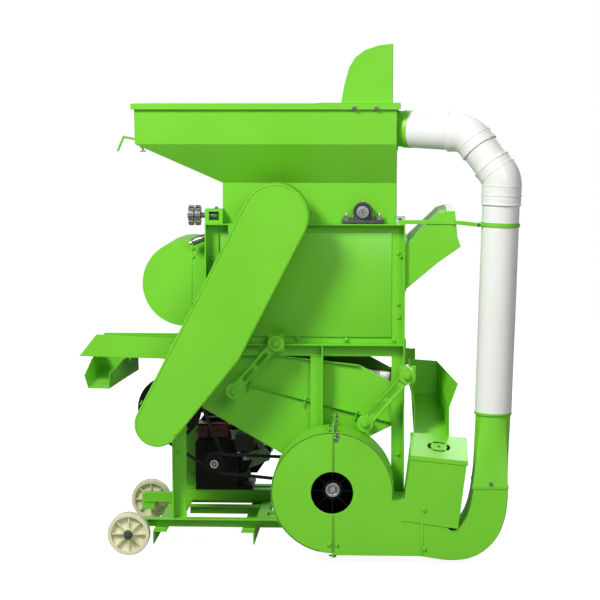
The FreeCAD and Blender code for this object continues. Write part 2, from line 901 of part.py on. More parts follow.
def pillow_block(x, y, foot, bore):
    """A flanged bearing housing on a foot, for a shaft along Y."""
    high = f"{foot} + shaft_height"
    near, far = f"{y} - bearing_depth / 2", f"{y} + bearing_depth / 2"
    base = box((f"{x} - bearing_width / 2", f"{x} + bearing_width / 2"), (near, far), (foot, f"{foot} + 13"))
    middle = box((f"{x} - 31", f"{x} + 31"), (f"{near} + 4", f"{far} - 4"), (f"{foot} + 12", f"{foot} + 25"))
    housing = rod("bearing_radius", x, (near, far), high)
    hole = rod(f"{bore} + running_clearance", x, (f"{near} - 1", f"{far} + 1"), high)
    return cut(join(base, middle, housing), hole)


def make_bearings():
    places = []
    for x in ("rotor_x", "second_rotor_x"):
        for y in ("bearing_depth / 2 - frame_half", "frame_half - bearing_depth / 2"):
            places.append((x, y, "top_rail_top", "shaft_radius"))
    for y in ("blower_bearing", "blower_outer_bearing"):
        places.append(("blower_x", y, "blower_height - shaft_height", "fan_shaft_radius"))
    for y in ("-jackshaft_bearing", "jackshaft_bearing"):
        places.append(("jackshaft_x", y, "jackshaft_height - shaft_height", "shaft_radius"))
    for y in ("65 - frame_half", "-82"):
        places.append(("lift_fan_x", y, "lift_fan_height - shaft_height", "fan_shaft_radius"))
    keep("pillow_blocks", group(*[pillow_block(*place) for place in places]))


def make_adjuster():
    """The concave's adjusting screw with two star wheels, and its open box bracket on the rail."""
    z = "top_rail_top + 24.5"
    shaft = rod("8", ("-331", "-240"), "-bearing_place", z)
    wheel = rod("26", ("-327", "-311"), "-bearing_place", z)
    nut = rod("26", ("-307", "-291"), "-bearing_place", z)
    teeth = []
    for x in (-327, -307):
        for step in range(8):
            along = step * math.tau / 8
            across = 26 * math.cos(along) - size.bearing_place
            place = Vector(x, across, size.top_rail_top + 24.5 + 26 * math.sin(along))
            teeth.append(feature(Part.makeCylinder(4.5, 16, place, Vector(1, 0, 0))))
    keep("adjuster_screw", join(shaft, wheel, nut, *teeth))
    bracket = cut(
        box(("-277", "-223"), ("1 - frame_half", "35 - frame_half"), ("top_rail_top", "top_rail_top + 44")),
        box(("-265", "-235"), ("-frame_half", "31 - frame_half"), ("top_rail_top + 10", "top_rail_top + 36")),
        rod("8.3", ("-278", "-239"), "-bearing_place", z),
    )
    return bracket


def make_blower():
    x, z = size.blower_x, size.blower_height
    half, radius = size.blower_half, size.blower_radius
    right = size.frame_left + size.angle_wall

    def whole(grow, side):
        turned = along_y(x, z, radius - grow, -side, side)
        top = z + radius - grow
        tangent = slab([(x, z), (right - grow, z), (right - grow, top - 9), (x, top)], -side, side)
        return turned.fuse(tangent).removeSplitter()

    shell = whole(0, half).cut(whole(2, half - 2))
    shell = shell.cut(along_y(x, z, size.blower_inlet, 0, half + 1))
    outlet = Part.makeBox(60, 2 * half - 4, 90, Vector(right + 12, 2 - half, z - 118))
    keep("blower_casing", feature(shell.cut(outlet)))

    body = doc.addObject("PartDesign::Body", "blower_impeller")
    profile = [("0", "-84"), ("fan_shaft_radius", "-84"), ("fan_shaft_radius", "-70")]
    profile += [("24", "-70"), ("24", "-2")]
    profile += [("60", "-2"), ("60", "2"), ("24", "2"), ("24", "70"), ("fan_shaft_radius", "70")]
    profile += pulley_points("blower_belt_y", "45", "fan_shaft_radius")
    profile += [("fan_shaft_radius", "frame_half + 73"), ("0", "frame_half + 73")]
    sketch = sketch_on(body, "XY_Plane")
    outline(sketch, profile)
    revolve(body, sketch)
    blade = sketch_on(body, "XZ_Plane")
    outline(blade, [("22", "-1.5"), ("blower_blade", "-1.5"), ("blower_blade", "1.5"), ("22", "1.5")])
    ring(body, pad(body, blade, "120"), "blower_blades")
    put(body, "blower_x", "0", "blower_height")
    keep("blower_impeller", body)


def make_husk_chute():
    top = [(329, 944), (425, 1036), (452, 1044), (476, 1044)]
    bottom = [(329, 807), (426, 889), (494, 937)]
    half = size.husk_half
    side = top + [(484, 966)] + bottom[::-1]
    walls = [slab(side, -half, 2 - half), slab(side, half - 2, half)]
    roof = slab(folded(top, -2), -half, half)
    floor = slab(folded(bottom, 2), -half, half)
    left = size.frame_right
    flange = slab([(left, 800), (left + 3, 800), (left + 3, 952), (left, 952)], -half, half)
    opening = slab([(left - 1, 812), (left + 4, 812), (left + 4, 940), (left - 1, 940)], 4 - half, half - 4)
    keep("husk_chute", feature(fused([*walls, roof, floor, flange.cut(opening)])))


def lower_pivots():
    """The sieve's two pivots on each side, hung from the upper ones."""
    left = (size.arm_pivot_x - size.arm_lean, size.arm_pivot_height - size.arm_drop)
    right = (size.right_pivot_x - size.arm_lean, size.right_pivot_height - size.arm_drop)
    return left, right


def make_sieve():
    half, wall = size.sieve_half, size.sieve_wall
    side = [(-294, 628), (189, 572), (286, 520), (302, 391), (180, 330), (-49, 295), (-294, 436)]
    plates = [slab(side, -half, wall - half), slab(side, half - wall, half)]
    pan = slab(folded([(-294, 436), (-49, 295), (180, 330), (302, 391)], wall), -half, half)
    right_end = slab(folded([(302, 391), (286, 520)], wall), -half, half)
    lip = folded([(-165, 511), (302, 391)], 3)
    strip = size.sieve_strip
    flanges = [slab(lip, -half - strip, -half), slab(lip, half, half + strip)]
    rim_line = folded([(189, 572), (-294, 628)], 3)
    rims = [slab(rim_line, -half - strip, wall - half), slab(rim_line, half - wall, half + strip)]
    left_end = slab([(-294, 436), (-292, 436), (-292, 626), (-294, 626)], wall - half, half - wall)
    window = slab([(-295, 588), (-290, 588), (-290, 624), (-295, 624)], -148, 148)
    pins = []
    for x, z in lower_pivots():
        pins.append(along_y(x, z, size.pivot_radius, -size.arm_near - 5, wall - half))
        pins.append(along_y(x, z, size.pivot_head, -size.arm_near - 5, -size.arm_near - 0.5))
        pins.append(along_y(x, z, 14, -size.arm_near + size.arm_width + 0.5, wall - half))
    pins += [pin.mirror(Vector(), Vector(0, 1, 0)) for pin in pins]
    lug_x, lug_z = -250, 388
    lugs = []
    for low in (54, 82):
        lugs.append(slab([(-268, 424), (-236, 406), (-238, 384), (-248, 376), (-262, 384)], low, low + 4))
    lug_pin = along_y(lug_x, lug_z, size.pivot_radius, 54, 86)
    inside = slab(side, -half, half)
    ends = fused([pan, right_end, left_end.cut(window)]).common(inside)
    keep("sieve_box", feature(fused([*plates, ends, *flanges, *rims, *pins, *lugs, lug_pin])))
    upper = slab(folded([(-291, 598), (282, 509)], wall), wall - half, half - wall)
    lower = slab(folded([(-290, 512), (283, 405)], wall), wall - half, half - wall)
    keep("sieve_screens", feature(Part.makeCompound([upper.common(inside), lower.common(inside)])))


def ruled(points, low, other, high):
    """A sheet between an outline at one place along Y and another at a second place."""
    first = [Vector(x, low, z) for x, z in points]
    second = [Vector(x, high, z) for x, z in other]
    wires = [Part.makePolygon(first + first[:1]), Part.makePolygon(second + second[:1])]
    return Part.makeLoft(wires, True, True)


def make_chutes():
    """The chute of the kernels with its spout, and the chute of the nuts that weren't shelled."""
    half = size.blower_half
    near = [(-621, 658), (-350, 646), (-294, 644), (-294, 590), (-414, 585), (-674, 591)]
    far = [(-640, 629), (-294, 629), (-294, 590), (-414, 585), (-674, 591)]
    near_wall = slab(near, -half, 2 - half)
    far_wall = slab(far, half - 2, half)
    floor = slab(folded([(-674, 591), (-414, 585), (-294, 590)], 2), -half, half)
    hem = slab(folded([(-621, 658), (-350, 646)], -2), -half, 8 - half)
    drop = slab([(-632, 580), (-530, 580), (-530, 600), (-632, 600)], -120, 48)
    keep("kernel_chute", feature(fused([near_wall, far_wall, floor, hem]).cut(drop)))

    mouth = folded([(-653, 537), (-641, 497), (-576, 496), (-574, 541)], 2)
    neck = folded([(-650, 570), (-640, 510), (-546, 510), (-548, 570)], 2)
    back = folded([(-646, 587), (-638, 522), (-518, 522), (-520, 587)], 2)
    channel = ruled(mouth, -190, neck, -60).fuse(ruled(neck, -60, back, 60))
    end = slab([(-646, 587), (-638, 522), (-518, 522), (-520, 587)], 58, 60)
    hangers = [slab([(-652, 560), (-644, 560), (-644, 590), (-652, 590)], -20, 20)]
    hangers.append(slab([(-540, 560), (-532, 560), (-532, 588), (-540, 588)], -20, 20))
    keep("kernel_spout", feature(fused([channel, end, *hangers])))

    far_end = folded([(340, 560), (348, 530), (348, 450), (433, 450), (433, 523), (429, 554)], 2)
    near_end = folded([(340, 523), (357, 450), (357, 348), (463, 348), (463, 450), (489, 523)], 2)
    trough = ruled(near_end, -214.5, far_end, 80)
    plug = slab([(340, 560), (348, 530), (348, 450), (433, 450), (433, 523), (429, 554)], 78, 80)
    hanger = slab([(327, 530), (356, 530), (356, 534), (331, 534), (331, 636), (327, 636)], -60, 0)
    keep("unshelled_chute", feature(fused([trough, plug, hanger])))


def make_arm(label, upper, side):
    """A swing arm: two eyes with raised rims, joined by a bar with two slots."""
    drop, lean = size.arm_drop, size.arm_lean
    x, z = upper
    low = (x - lean, z - drop)
    near, far = -size.arm_near, size.arm_width - size.arm_near
    length = math.hypot(lean, drop)
    way = (-lean / length, -drop / length)
    across = (-way[1], way[0])

    def at(along, aside):
        return x + way[0] * along + across[0] * aside, z + way[1] * along + across[1] * aside

    web = strap((x, z, size.arm_eye - 4), (*low, size.arm_eye - 4), near + 5, far - 5)
    rim = strap((x, z, size.arm_eye - 3), (*low, size.arm_eye - 3), near, far)
    rim = rim.cut(strap((x, z, size.arm_eye - 8), (*low, size.arm_eye - 8), near - 1, far + 1))
    eyes = [along_y(cx, cz, size.arm_eye, near, far) for cx, cz in ((x, z), low)]
    arm = fused([web, rim, *eyes])
    for start, end in ((length * 0.24, length * 0.44), (length * 0.56, length * 0.76)):
        arm = arm.cut(strap((*at(start, 0), 9), (*at(end, 0), 9.01), near - 1, far + 1))
    for cx, cz in ((x, z), low):
        arm = arm.cut(along_y(cx, cz, size.pivot_radius + size.running_clearance, near - 1, far + 1))
    if side > 0:
        arm = arm.mirror(Vector(), Vector(0, 1, 0))
    keep(label, feature(arm))


def make_arms():
    uppers = {
        "left": (size.arm_pivot_x, size.arm_pivot_height),
        "right": (size.right_pivot_x, size.right_pivot_height),
    }
    for side, where in ((-1, "near"), (1, "far")):
        for hand, upper in uppers.items():
            make_arm(f"{where}_{hand}_arm", upper, side)
    lug_x, lug_z = -250, 388
    big = (size.jackshaft_x, size.jackshaft_height)
    y = size.connecting_rod_y
    bore = 22 + size.rod_clearance
    rod_ = fused(
        [
            strap((*big, 14), (lug_x, lug_z, 12), y - 6, y + 6),
            along_y(*big, bore + 10, y - 8, y + 8),
            along_y(lug_x, lug_z, 15, y - 8, y + 8),
        ]
    )
    rod_ = rod_.cut(along_y(*big, bore, y - 9, y + 9))
    rod_ = rod_.cut(along_y(lug_x, lug_z, size.pivot_radius + size.running_clearance, y - 9, y + 9))
    keep("connecting_rod", feature(rod_))


def make_drive():
    """The jackshaft with its pulleys and eccentric, the belts and their guards."""
    body = doc.addObject("PartDesign::Body", "jackshaft_turned")
    big = "jackshaft_pulley"
    y = "engine_belt_y"
    profile = [("0", "-shaft_reach"), ("shaft_radius", "-shaft_reach")]
    profile += pulley_points("rotor_belt_y", "jackshaft_small_pulley")
    profile += collar_points("-jackshaft_bearing - 19.5")
    profile += [
        ("shaft_radius", f"{y} - 14"),
        ("28", f"{y} - 14"),
        ("28", f"{y} - 4"),
        (f"{big} - 16", f"{y} - 4"),
        (f"{big} - 16", f"{y} - pulley_width / 2"),
        (big, f"{y} - pulley_width / 2"),
        (big, f"{y} - 6.5"),
        (f"{big} - 10", f"{y} - 5"),
        (f"{big} - 10", f"{y} + 5"),
        (big, f"{y} + 6.5"),
        (big, f"{y} + pulley_width / 2"),
        (f"{big} - 16", f"{y} + pulley_width / 2"),
        (f"{big} - 16", f"{y} + 4"),
        ("28", f"{y} + 4"),
        ("28", f"{y} + 14"),
        ("shaft_radius", f"{y} + 14"),
    ]
    profile += collar_points("jackshaft_bearing + 19.5")
    profile += [("shaft_radius", "jackshaft_bearing + 26"), ("0", "jackshaft_bearing + 26")]
    sketch = sketch_on(body, "XY_Plane")
    outline(sketch, profile)
    revolve(body, sketch)
    put(body, "jackshaft_x", "0", "jackshaft_height")
    wide = ("connecting_rod_y - 9", "connecting_rod_y + 9")
    cam = rod("22", "jackshaft_x + throw", wide, "jackshaft_height")
    keep("jackshaft", join(body, cam))

    z = size.top_rail_top + size.shaft_height
    jack = (size.jackshaft_x, size.jackshaft_height)
    engine = (size.engine_x, size.engine_height)
    fan = (size.lift_fan_x, size.lift_fan_height)
    blower = (size.blower_x, size.blower_height)
    half = size.belt_width / 2

    def belt(a, first, b, second, y):
        outer = strap((*a, first + 0.5), (*b, second + 0.5), y - half, y + half)
        deep = size.belt_height - 0.5
        return outer.cut(strap((*a, first - deep), (*b, second - deep), y - half - 1, y + half + 1))

    def engine_belt(other, radius, y):
        return belt(engine, size.engine_pulley, other, radius, y)

    keep(
        "engine_belts",
        feature(
            Part.makeCompound(
                [
                    engine_belt(jack, size.jackshaft_pulley, size.engine_belt_y),
                    engine_belt(fan, size.lift_fan_pulley, size.fan_belt_y),
                ]
            )
        ),
    )
    first, second = (size.rotor_x, z), (size.second_rotor_x, z)
    keep(
        "guarded_belts",
        feature(
            Part.makeCompound(
                [
                    belt(jack, size.jackshaft_small_pulley, first, size.rotor_pulley, size.rotor_belt_y),
                    belt(first, 50, blower, 45, size.blower_belt_y),
                    belt(first, 41, second, 40, size.return_belt_y),
                ]
            )
        ),
    )

    # Belt guard on the near side: its right edge runs level with the left one, then turns to the lower end
    def guard(grow, low, high):
        top_radius = size.guard_top_radius - grow
        foot_radius = size.guard_bottom_radius - grow
        edge = [
            (size.rotor_x, 1034),
            (size.rotor_x + 0.888 * top_radius, 1034 - 0.459 * top_radius),
            (-166 - grow, 606 + 0.5 * grow),
            (size.jackshaft_x + 0.78 * foot_radius, size.jackshaft_height - 0.626 * foot_radius),
            jack,
        ]
        whole = strap((size.rotor_x, 1034, top_radius), (*jack, foot_radius), low, high)
        return whole.fuse(slab(edge, low, high)).removeSplitter()

    wall = size.guard_wall
    near, back = -size.guard_near, size.guard_depth - size.guard_near
    keep("belt_guard", feature(guard(0, near, back).cut(guard(wall, near + wall, back + 1))))

    def far_guard(grow, low, high):
        a = (*blower, 64 - grow)
        b = (*first, 72 - grow)
        c = (*second, 62 - grow)
        return strap(b, a, low, high).fuse(strap(b, c, low, high)).removeSplitter()

    back, far = size.far_guard_back, size.far_guard
    keep("far_belt_guard", feature(far_guard(0, back, far).cut(far_guard(wall, back - 1, far - wall))))


def make_lift_fan():
    """The fan that lifts the returned nuts: a casing in two halves, with a turned and bladed impeller."""
    x, z, radius = size.lift_fan_x, size.lift_fan_height, size.lift_fan_radius
    near, far = -size.lift_fan_near, size.lift_fan_depth - size.lift_fan_near
    bottom, top, right = size.lift_fan_bottom, size.lift_fan_outlet_top, size.lift_fan_outlet
    wall = size.duct_wall

    def whole(grow, low, high):
        turned = along_y(x, z, radius - grow, low, high)
        end, under, over = right + grow, bottom + grow, top - grow
        out = slab([(x, under), (end, under), (end, over), (x, over)], low, high)
        floor = Part.makeBox(2 * radius, high - low, radius, Vector(x - radius, low, bottom + grow - radius))
        return turned.fuse(out).cut(floor).removeSplitter()

    casing = whole(0, near, far).cut(whole(wall, near + wall, far - wall))
    casing = casing.cut(along_y(x, z, size.lift_fan_inlet, near - 1, near + wall + 1))
    casing = casing.cut(along_y(x, z, size.fan_shaft_radius + 4, far - wall - 1, far + 1))
    seam = x + 3
    split = Part.makeBox(600, 400, 600, Vector(seam - 600, -500, -100))
    flange = Part.makeBox(3, size.lift_fan_depth, 12, Vector(seam - 3, near, z + radius - 2))
    left = casing.common(split).fuse(flange).removeSplitter()
    right_half = casing.cut(split).fuse(flange.translated(Vector(3, 0, 0))).removeSplitter()
    keep("lift_fan_left_shell", feature(left))
    keep("lift_fan_right_shell", feature(right_half))

    body = doc.addObject("PartDesign::Body", "lift_fan_impeller")
    tip, hub, back = "41 - lift_fan_near", "49 - lift_fan_near", "135 - lift_fan_near"
    behind, end = "138 - lift_fan_near", "146 - lift_fan_near"
    profile = [("0", tip), ("fan_shaft_radius", tip), ("fan_shaft_radius", hub), ("30", hub), ("30", back)]
    profile += [("lift_fan_blade", back), ("lift_fan_blade", behind), ("24", behind), ("24", end)]
    profile += [("fan_shaft_radius", end)]
    profile += pulley_points("fan_belt_y", "lift_fan_pulley", "fan_shaft_radius")
    profile += [("fan_shaft_radius", "-24"), ("0", "-24")]
    sketch = sketch_on(body, "XY_Plane")
    outline(sketch, profile)
    revolve(body, sketch)
    blade = sketch_on(body, "YZ_Plane")
    front, deep = "31 - lift_fan_near", "136 - lift_fan_near"
    corners = [(front, "28"), (deep, "28"), (deep, "lift_fan_blade"), (front, "lift_fan_blade - 30")]
    outline(blade, corners)
    ring(body, pad(body, blade, "3"), "8")
    put(body, "lift_fan_x", "0", "lift_fan_height")
    keep("lift_fan_impeller", body)


def make_duct():
    """The duct from the fan to the upright pipe, with the box that feeds the nuts into it."""
    near, far = -size.lift_fan_near, size.lift_fan_depth - size.lift_fan_near
    wall = size.duct_wall
    start, bottom = size.lift_fan_outlet, size.lift_fan_bottom
    outer = [(start, bottom), (456, 18), (512, 22), (556, 40), (592, 72)]
    outer += [(614, 109), (628, 155), (633, 200), (634, 236)]
    inner = [(start, 194), (430, 130), (470, 105), (486, 111), (508, 142), (522, 184), (531, 236)]
    side = outer + inner[::-1]
    sheets = [
        slab(side, near, near + wall),
        slab(side, far - wall, far),
        slab(folded(outer, wall), near, far),
        slab(folded(inner[2:], -wall), near, far),
        slab(folded([inner[0], (388, 180)], -wall), near, far),
    ]
    beyond = Part.makeBox(400, 400, 400, Vector(start, near - 1, -50))
    keep("elbow_duct", feature(fused(sheets).common(beyond)))

    # Riser: square at the duct, round at the pipe
    def square_to_round(grow):
        z0, z1 = 242, 440
        half_x, half_y = 51.5 - grow, size.lift_fan_depth / 2 - grow
        middle_x, middle_y = 582.5, (near + far) / 2
        corners = [(-1, -1), (1, -1), (1, 1), (-1, 1)]
        square = [Vector(middle_x + sx * half_x, middle_y + sy * half_y, z0) for sx, sy in corners]
        radius = 52 - grow
        quarter = [225, 315, 45, 135]
        arcs = []
        for first in quarter:
            turns = [math.radians(first + step) for step in (0, 45, 90)]
            places = [
                Vector(591 + radius * math.cos(t), size.lift_fan_y + radius * math.sin(t), z1) for t in turns
            ]
            arcs.append(Part.Arc(*places).toShape())
        base = Part.makePolygon(square + square[:1])
        return Part.makeLoft([base, Part.Wire(arcs)], True, True)

    pipe = pipe_points()
    up = (pipe[1] - pipe[0]).normalize()
    riser = square_to_round(0).cut(square_to_round(wall))
    spigot_foot = Vector(591, size.lift_fan_y, 440)
    spigot = tube(52, wall, spigot_foot, Vector(591, size.lift_fan_y, 450))
    inside = size.pipe_radius - size.pipe_wall - size.socket_gap
    stub = tube(inside, wall, pipe[0] - up * 4, pipe[0] + up * 40)
    bead = tube(size.pipe_radius + 1, 9, Vector(591, size.lift_fan_y, 446), Vector(591, size.lift_fan_y, 456))
    bead = bead.cut(cylinder(size.pipe_radius + 9, pipe[0], pipe[0] + up * 20))
    depth = size.lift_fan_depth
    band = Part.makeBox(107, depth + 4, 10, Vector(529, near - 2, 232))
    room = size.socket_gap
    band = band.cut(Part.makeBox(105, depth + 2 * room, 5 + room, Vector(530, near - room, 231)))
    band = band.cut(Part.makeBox(99, depth - 4, 12, Vector(533, near + 2, 231)))
    keep("riser_duct", feature(fused([riser, spigot, stub, bead, band])))

    # Feed box: its near and far plates lap over the duct's sides
    front, back = near - wall, far + wall
    low_left, low_right = (319, 134), (487, 112)
    near_plate = slab([(348, 329), (513, 313), low_right, low_left], front, near)
    far_plate = slab([(348, 372), (513, 356), low_right, low_left], far, back)
    window = slab([(357, 350), (463, 350), (463, 380), (357, 380)], far - 1, back + 1)
    near_edge = [(328, 194), (330, 194), (350, 329), (348, 329)]
    far_edge = [(328, 194), (330, 194), (350, 372), (348, 372)]
    left_wall = ruled(near_edge, front, far_edge, back)
    near_edge = [(486, 112), (488, 112), (513, 313), (511, 313)]
    far_edge = [(486, 112), (488, 112), (513, 356), (511, 356)]
    right_wall = ruled(near_edge, front, far_edge, back)
    walls = fused([left_wall, right_wall]).cut(slab(side, near, far))
    keep("feed_box", feature(fused([near_plate, far_plate.cut(window), walls])))

    a, b = Vector(345, front - 2, 329.5), Vector(516, front - 2, 313)
    lift, hang = Vector(0, 0, 1.5), Vector(0, 0, 11)
    rise = Vector(0, back - front + 4, 43.8)
    plane = Part.Face(Part.makePolygon([a, b, b + rise, a + rise, a]))
    normal = (b - a).cross(rise).normalize()
    lid = plane.extrude(normal * 2)
    middle = (a + b + rise) * 0.5
    disc = cylinder(34, middle - normal * 6, middle + normal * 6)
    ring_cut = disc.cut(cylinder(25, middle - normal * 7, middle + normal * 7))
    along_x = (b - a).normalize()
    across = normal.cross(along_x)
    for step in range(4):
        turn = math.radians(45 + 90 * step)
        way = along_x * math.cos(turn) + across * math.sin(turn)
        bridge = cylinder(4, middle + way * 20, middle + way * 40)
        ring_cut = ring_cut.cut(bridge)
    lid = lid.cut(ring_cut).cut(cylinder(5, middle - normal * 6, middle + normal * 6))
    skirt = Part.Face(
        Part.makePolygon([a + lift, b + lift, b - hang, a - hang, a + lift])
    ).extrude(Vector(0, 2, 0))
    keep("feed_box_lid", feature(fused([lid, skirt])))


def make_pipe():
    foot, first, second, end = pipe_points()
    radius, wall = size.pipe_radius, size.pipe_wall
    bend = size.bend_radius
    gap = size.socket_gap
    length = size.socket_length

    def elbow(a, b, c):
        """An elbow fitting, and the two places where the pipes end in it."""
        before, after = (b - a).normalize(), (c - b).normalize()
        turn = before.getAngle(after)
        reach = bend * math.tan(turn / 2)
        start, finish = b - before * reach, b + after * reach
        centre = b + (after - before).normalize() * (bend / math.cos(turn / 2))
        axis = before.cross(after)

        def disc(r):
            return Part.Face(Part.Wire(Part.makeCircle(r, start, before)))

        outer = size.socket_radius
        ring_face = disc(outer).cut(disc(radius - wall)).Faces[0]
        bent = ring_face.revolve(centre, axis, math.degrees(turn))
        mouth, outlet = start - before * length, finish + after * length
        sockets = [
            tube(outer, outer - radius - gap, mouth, start),
            tube(outer, outer - radius - gap, finish, outlet),
            tube(outer + 1.5, outer + 1.5 - radius - gap, mouth, mouth + before * 5),
            tube(outer + 1.5, outer + 1.5 - radius - gap, outlet - after * 5, outlet),
        ]
        return fused([bent, *sockets]), start, finish

    low_elbow, low_end, low_start = elbow(foot, first, second)
    high_elbow, high_end, high_start = elbow(first, second, end)
    keep("vertical_pipe", feature(tube(radius, wall, foot, low_end)))
    keep("pipe_elbows", feature(Part.makeCompound([low_elbow, high_elbow])))
    short_pipes = [tube(radius, wall, low_start, high_end), tube(radius, wall, high_start, end)]
    keep("short_pipes", feature(Part.makeCompound(short_pipes)))
    way = (end - second).normalize()
    inside = Part.makeBox(300, 800, 800, Vector(size.rim_right - 300, -600, 900))
    sleeve = tube(radius - 1, 5, end, end + way * 80)
    spigot = tube(radius - wall - gap, 2.7, end - way * 25, end + way * 80)
    flare = cylinder(radius + 10, end + way * 2, end + way * 80)
    plate_band = Part.makeBox(3, 400, 400, Vector(size.rim_right, -400, 1100))
    ring_plate = flare.common(plate_band).cut(cylinder(radius - 6, end - way * 30, end + way * 90))
    keep("pipe_collar", feature(fused([sleeve, spigot]).cut(inside).fuse(ring_plate).removeSplitter()))

    # Stay bar: on the rail, along the husk chute's near wall and round the pipe in a strap
    z0, z1 = size.top_rail_top, size.top_rail_top + 12
    at_height = foot + (first - foot) * ((z0 + 6 - foot.z) / (first.z - foot.z))
    half = size.husk_half
    line = [(308, -half - 4), (470, -half - 4), (at_height.x - radius - 14, size.lift_fan_y - 18)]
    corners = [Vector(x, y, z0) for x, y in folded(line, 4)]
    bar = Part.Face(Part.makePolygon(corners + corners[:1])).extrude(Vector(0, 0, z1 - z0))
    up = (first - foot).normalize()
    band = tube(radius + gap + 3, 3, at_height - up * 6, at_height + up * 6)
    lug = Part.makeBox(22, 8, 12, Vector(at_height.x - radius - 20, size.lift_fan_y - 22, z0))
    lug = lug.cut(cylinder(radius + gap, at_height - up * 20, at_height + up * 20))
    keep("stay_bar", feature(fused([bar, lug, band])))


def make_engine():
    """A small four-stroke engine on two rails, its shaft along Y and its cylinder leaning right."""
    x, z, base = size.engine_x, size.engine_height, size.engine_base
    low, high = 75, 215

    crank = Part.makeBox(138, high - low, 150, Vector(x - 73, low, base + 12))
    crank = crank.makeFillet(14, [edge for edge in crank.Edges if abs(edge.tangentAt(0).y) > 0.9])
    foot = Part.makeBox(182, 150, 14, Vector(x - 72, 70, base))
    cover = along_y(x, z, 58, low - 14, low + 2)
    boss = along_y(x, z, 24, low - 24, low)
    tilt = math.radians(20)
    way = Vector(math.cos(tilt), 0, math.sin(tilt))
    up = Vector(-way.z, 0, way.x)

    def block(start, end, half_up, half_y):
        middle = Vector(x, (low + high) / 2, z)
        corners = []
        for along, aside in ((start, -half_up), (end, -half_up), (end, half_up), (start, half_up)):
            corners.append(middle + way * along + up * aside - Vector(0, half_y, 0))
        return Part.Face(Part.makePolygon(corners + corners[:1])).extrude(Vector(0, 2 * half_y, 0))

    barrel = block(30, 124, 34, 38)
    fins = [block(start, start + 3, 46, 50) for start in range(66, 122, 8)]
    plate_ = Part.makeBox(26, 12, 22, Vector(x - 43, 63.5, 276))
    pivot = (x - 30, 290)
    pin = along_y(*pivot, 3, 54, 70)
    keep("engine_block", feature(fused([crank, foot, cover, boss, barrel, *fins, plate_, pin])))
    grip = [(-301, 290), (-293, 290), (-294, 336), (-300, 336)]
    eye = along_y(*pivot, 7, 57, 60).fuse(slab(grip, 57, 60))
    lever = eye.cut(along_y(*pivot, 3.3, 56, 61)).removeSplitter()
    keep("throttle_lever", feature(lever))
    head = block(124.2, 146, 38, 42)
    head = head.makeFillet(6, [edge for edge in head.Edges if edge.Length > 40])
    keep("valve_cover", feature(head))

    tank = Part.makeBox(110, 124, 46, Vector(x - 72, 88, 299))
    tank = tank.makeFillet(14, [edge for edge in tank.Edges if abs(edge.tangentAt(0).z) > 0.9])
    tank = tank.makeFillet(7, [edge for edge in tank.Edges if edge.CenterOfMass.z > 344])
    straps = [Part.makeBox(12, 110, 3, Vector(place, 97, 297)) for place in (x - 64, x + 14)]
    neck_x, neck_y = x - 26, 150
    keep("fuel_tank", feature(fused([tank, *straps, Part.makeCylinder(14, 4, Vector(neck_x, neck_y, 344))])))
    cap = Part.makeCylinder(19, 11, Vector(neck_x, neck_y, 348.3))
    keep("fuel_cap", feature(cap.makeFillet(2, [cap.Edges[0]])))

    body = Part.makeBox(84, 44, 62, Vector(x + 80, 218, 232))
    body = body.makeFillet(9, [edge for edge in body.Edges if abs(edge.tangentAt(0).x) > 0.9])
    stub = along_y(x + 100, 262, 10, 195.2, 220)
    tail = cylinder(8, Vector(x + 160, 240, 250), Vector(x + 178, 240, 246))
    keep("muffler", feature(fused([body, tail, stub])))

    filter_box = Part.makeBox(62, 46, 56, Vector(x + 58, 24, 268))
    long_edges = [edge for edge in filter_box.Edges if abs(edge.tangentAt(0).y) > 0.9]
    filter_box = filter_box.makeFillet(8, long_edges)
    pipe = along_y(x + 88, 280, 11, 66, 95)
    keep("air_cleaner", feature(fused([filter_box, pipe])))

    dome = along_y(x, z, 74, high, high + 36)
    dome = dome.makeFillet(10, [edge for edge in dome.Edges if edge.CenterOfMass.y > high + 30])
    cup = along_y(x, z, 30, high + 34, high + 44)
    handle = Part.makeBox(14, 22, 16, Vector(x - 50, high + 24, z + 38))
    keep("recoil_starter", feature(fused([dome, cup, handle])))

    body = doc.addObject("PartDesign::Body", "engine_pulley")
    profile = [("0", "-58"), ("9", "-58"), ("9", "-52"), ("12.5", "-52"), ("12.5", "-50")]
    profile += pulley_points("fan_belt_y", "engine_pulley", "20")
    profile += pulley_points("engine_belt_y", "engine_pulley", "20")
    profile += [("20", "4"), ("12.5", "4"), ("12.5", "50"), ("0", "50")]
    sketch = sketch_on(body, "XY_Plane")
    outline(sketch, profile)
    revolve(body, sketch)
    put(body, "engine_x", "0", "engine_height")
    keep("engine_pulley", body)


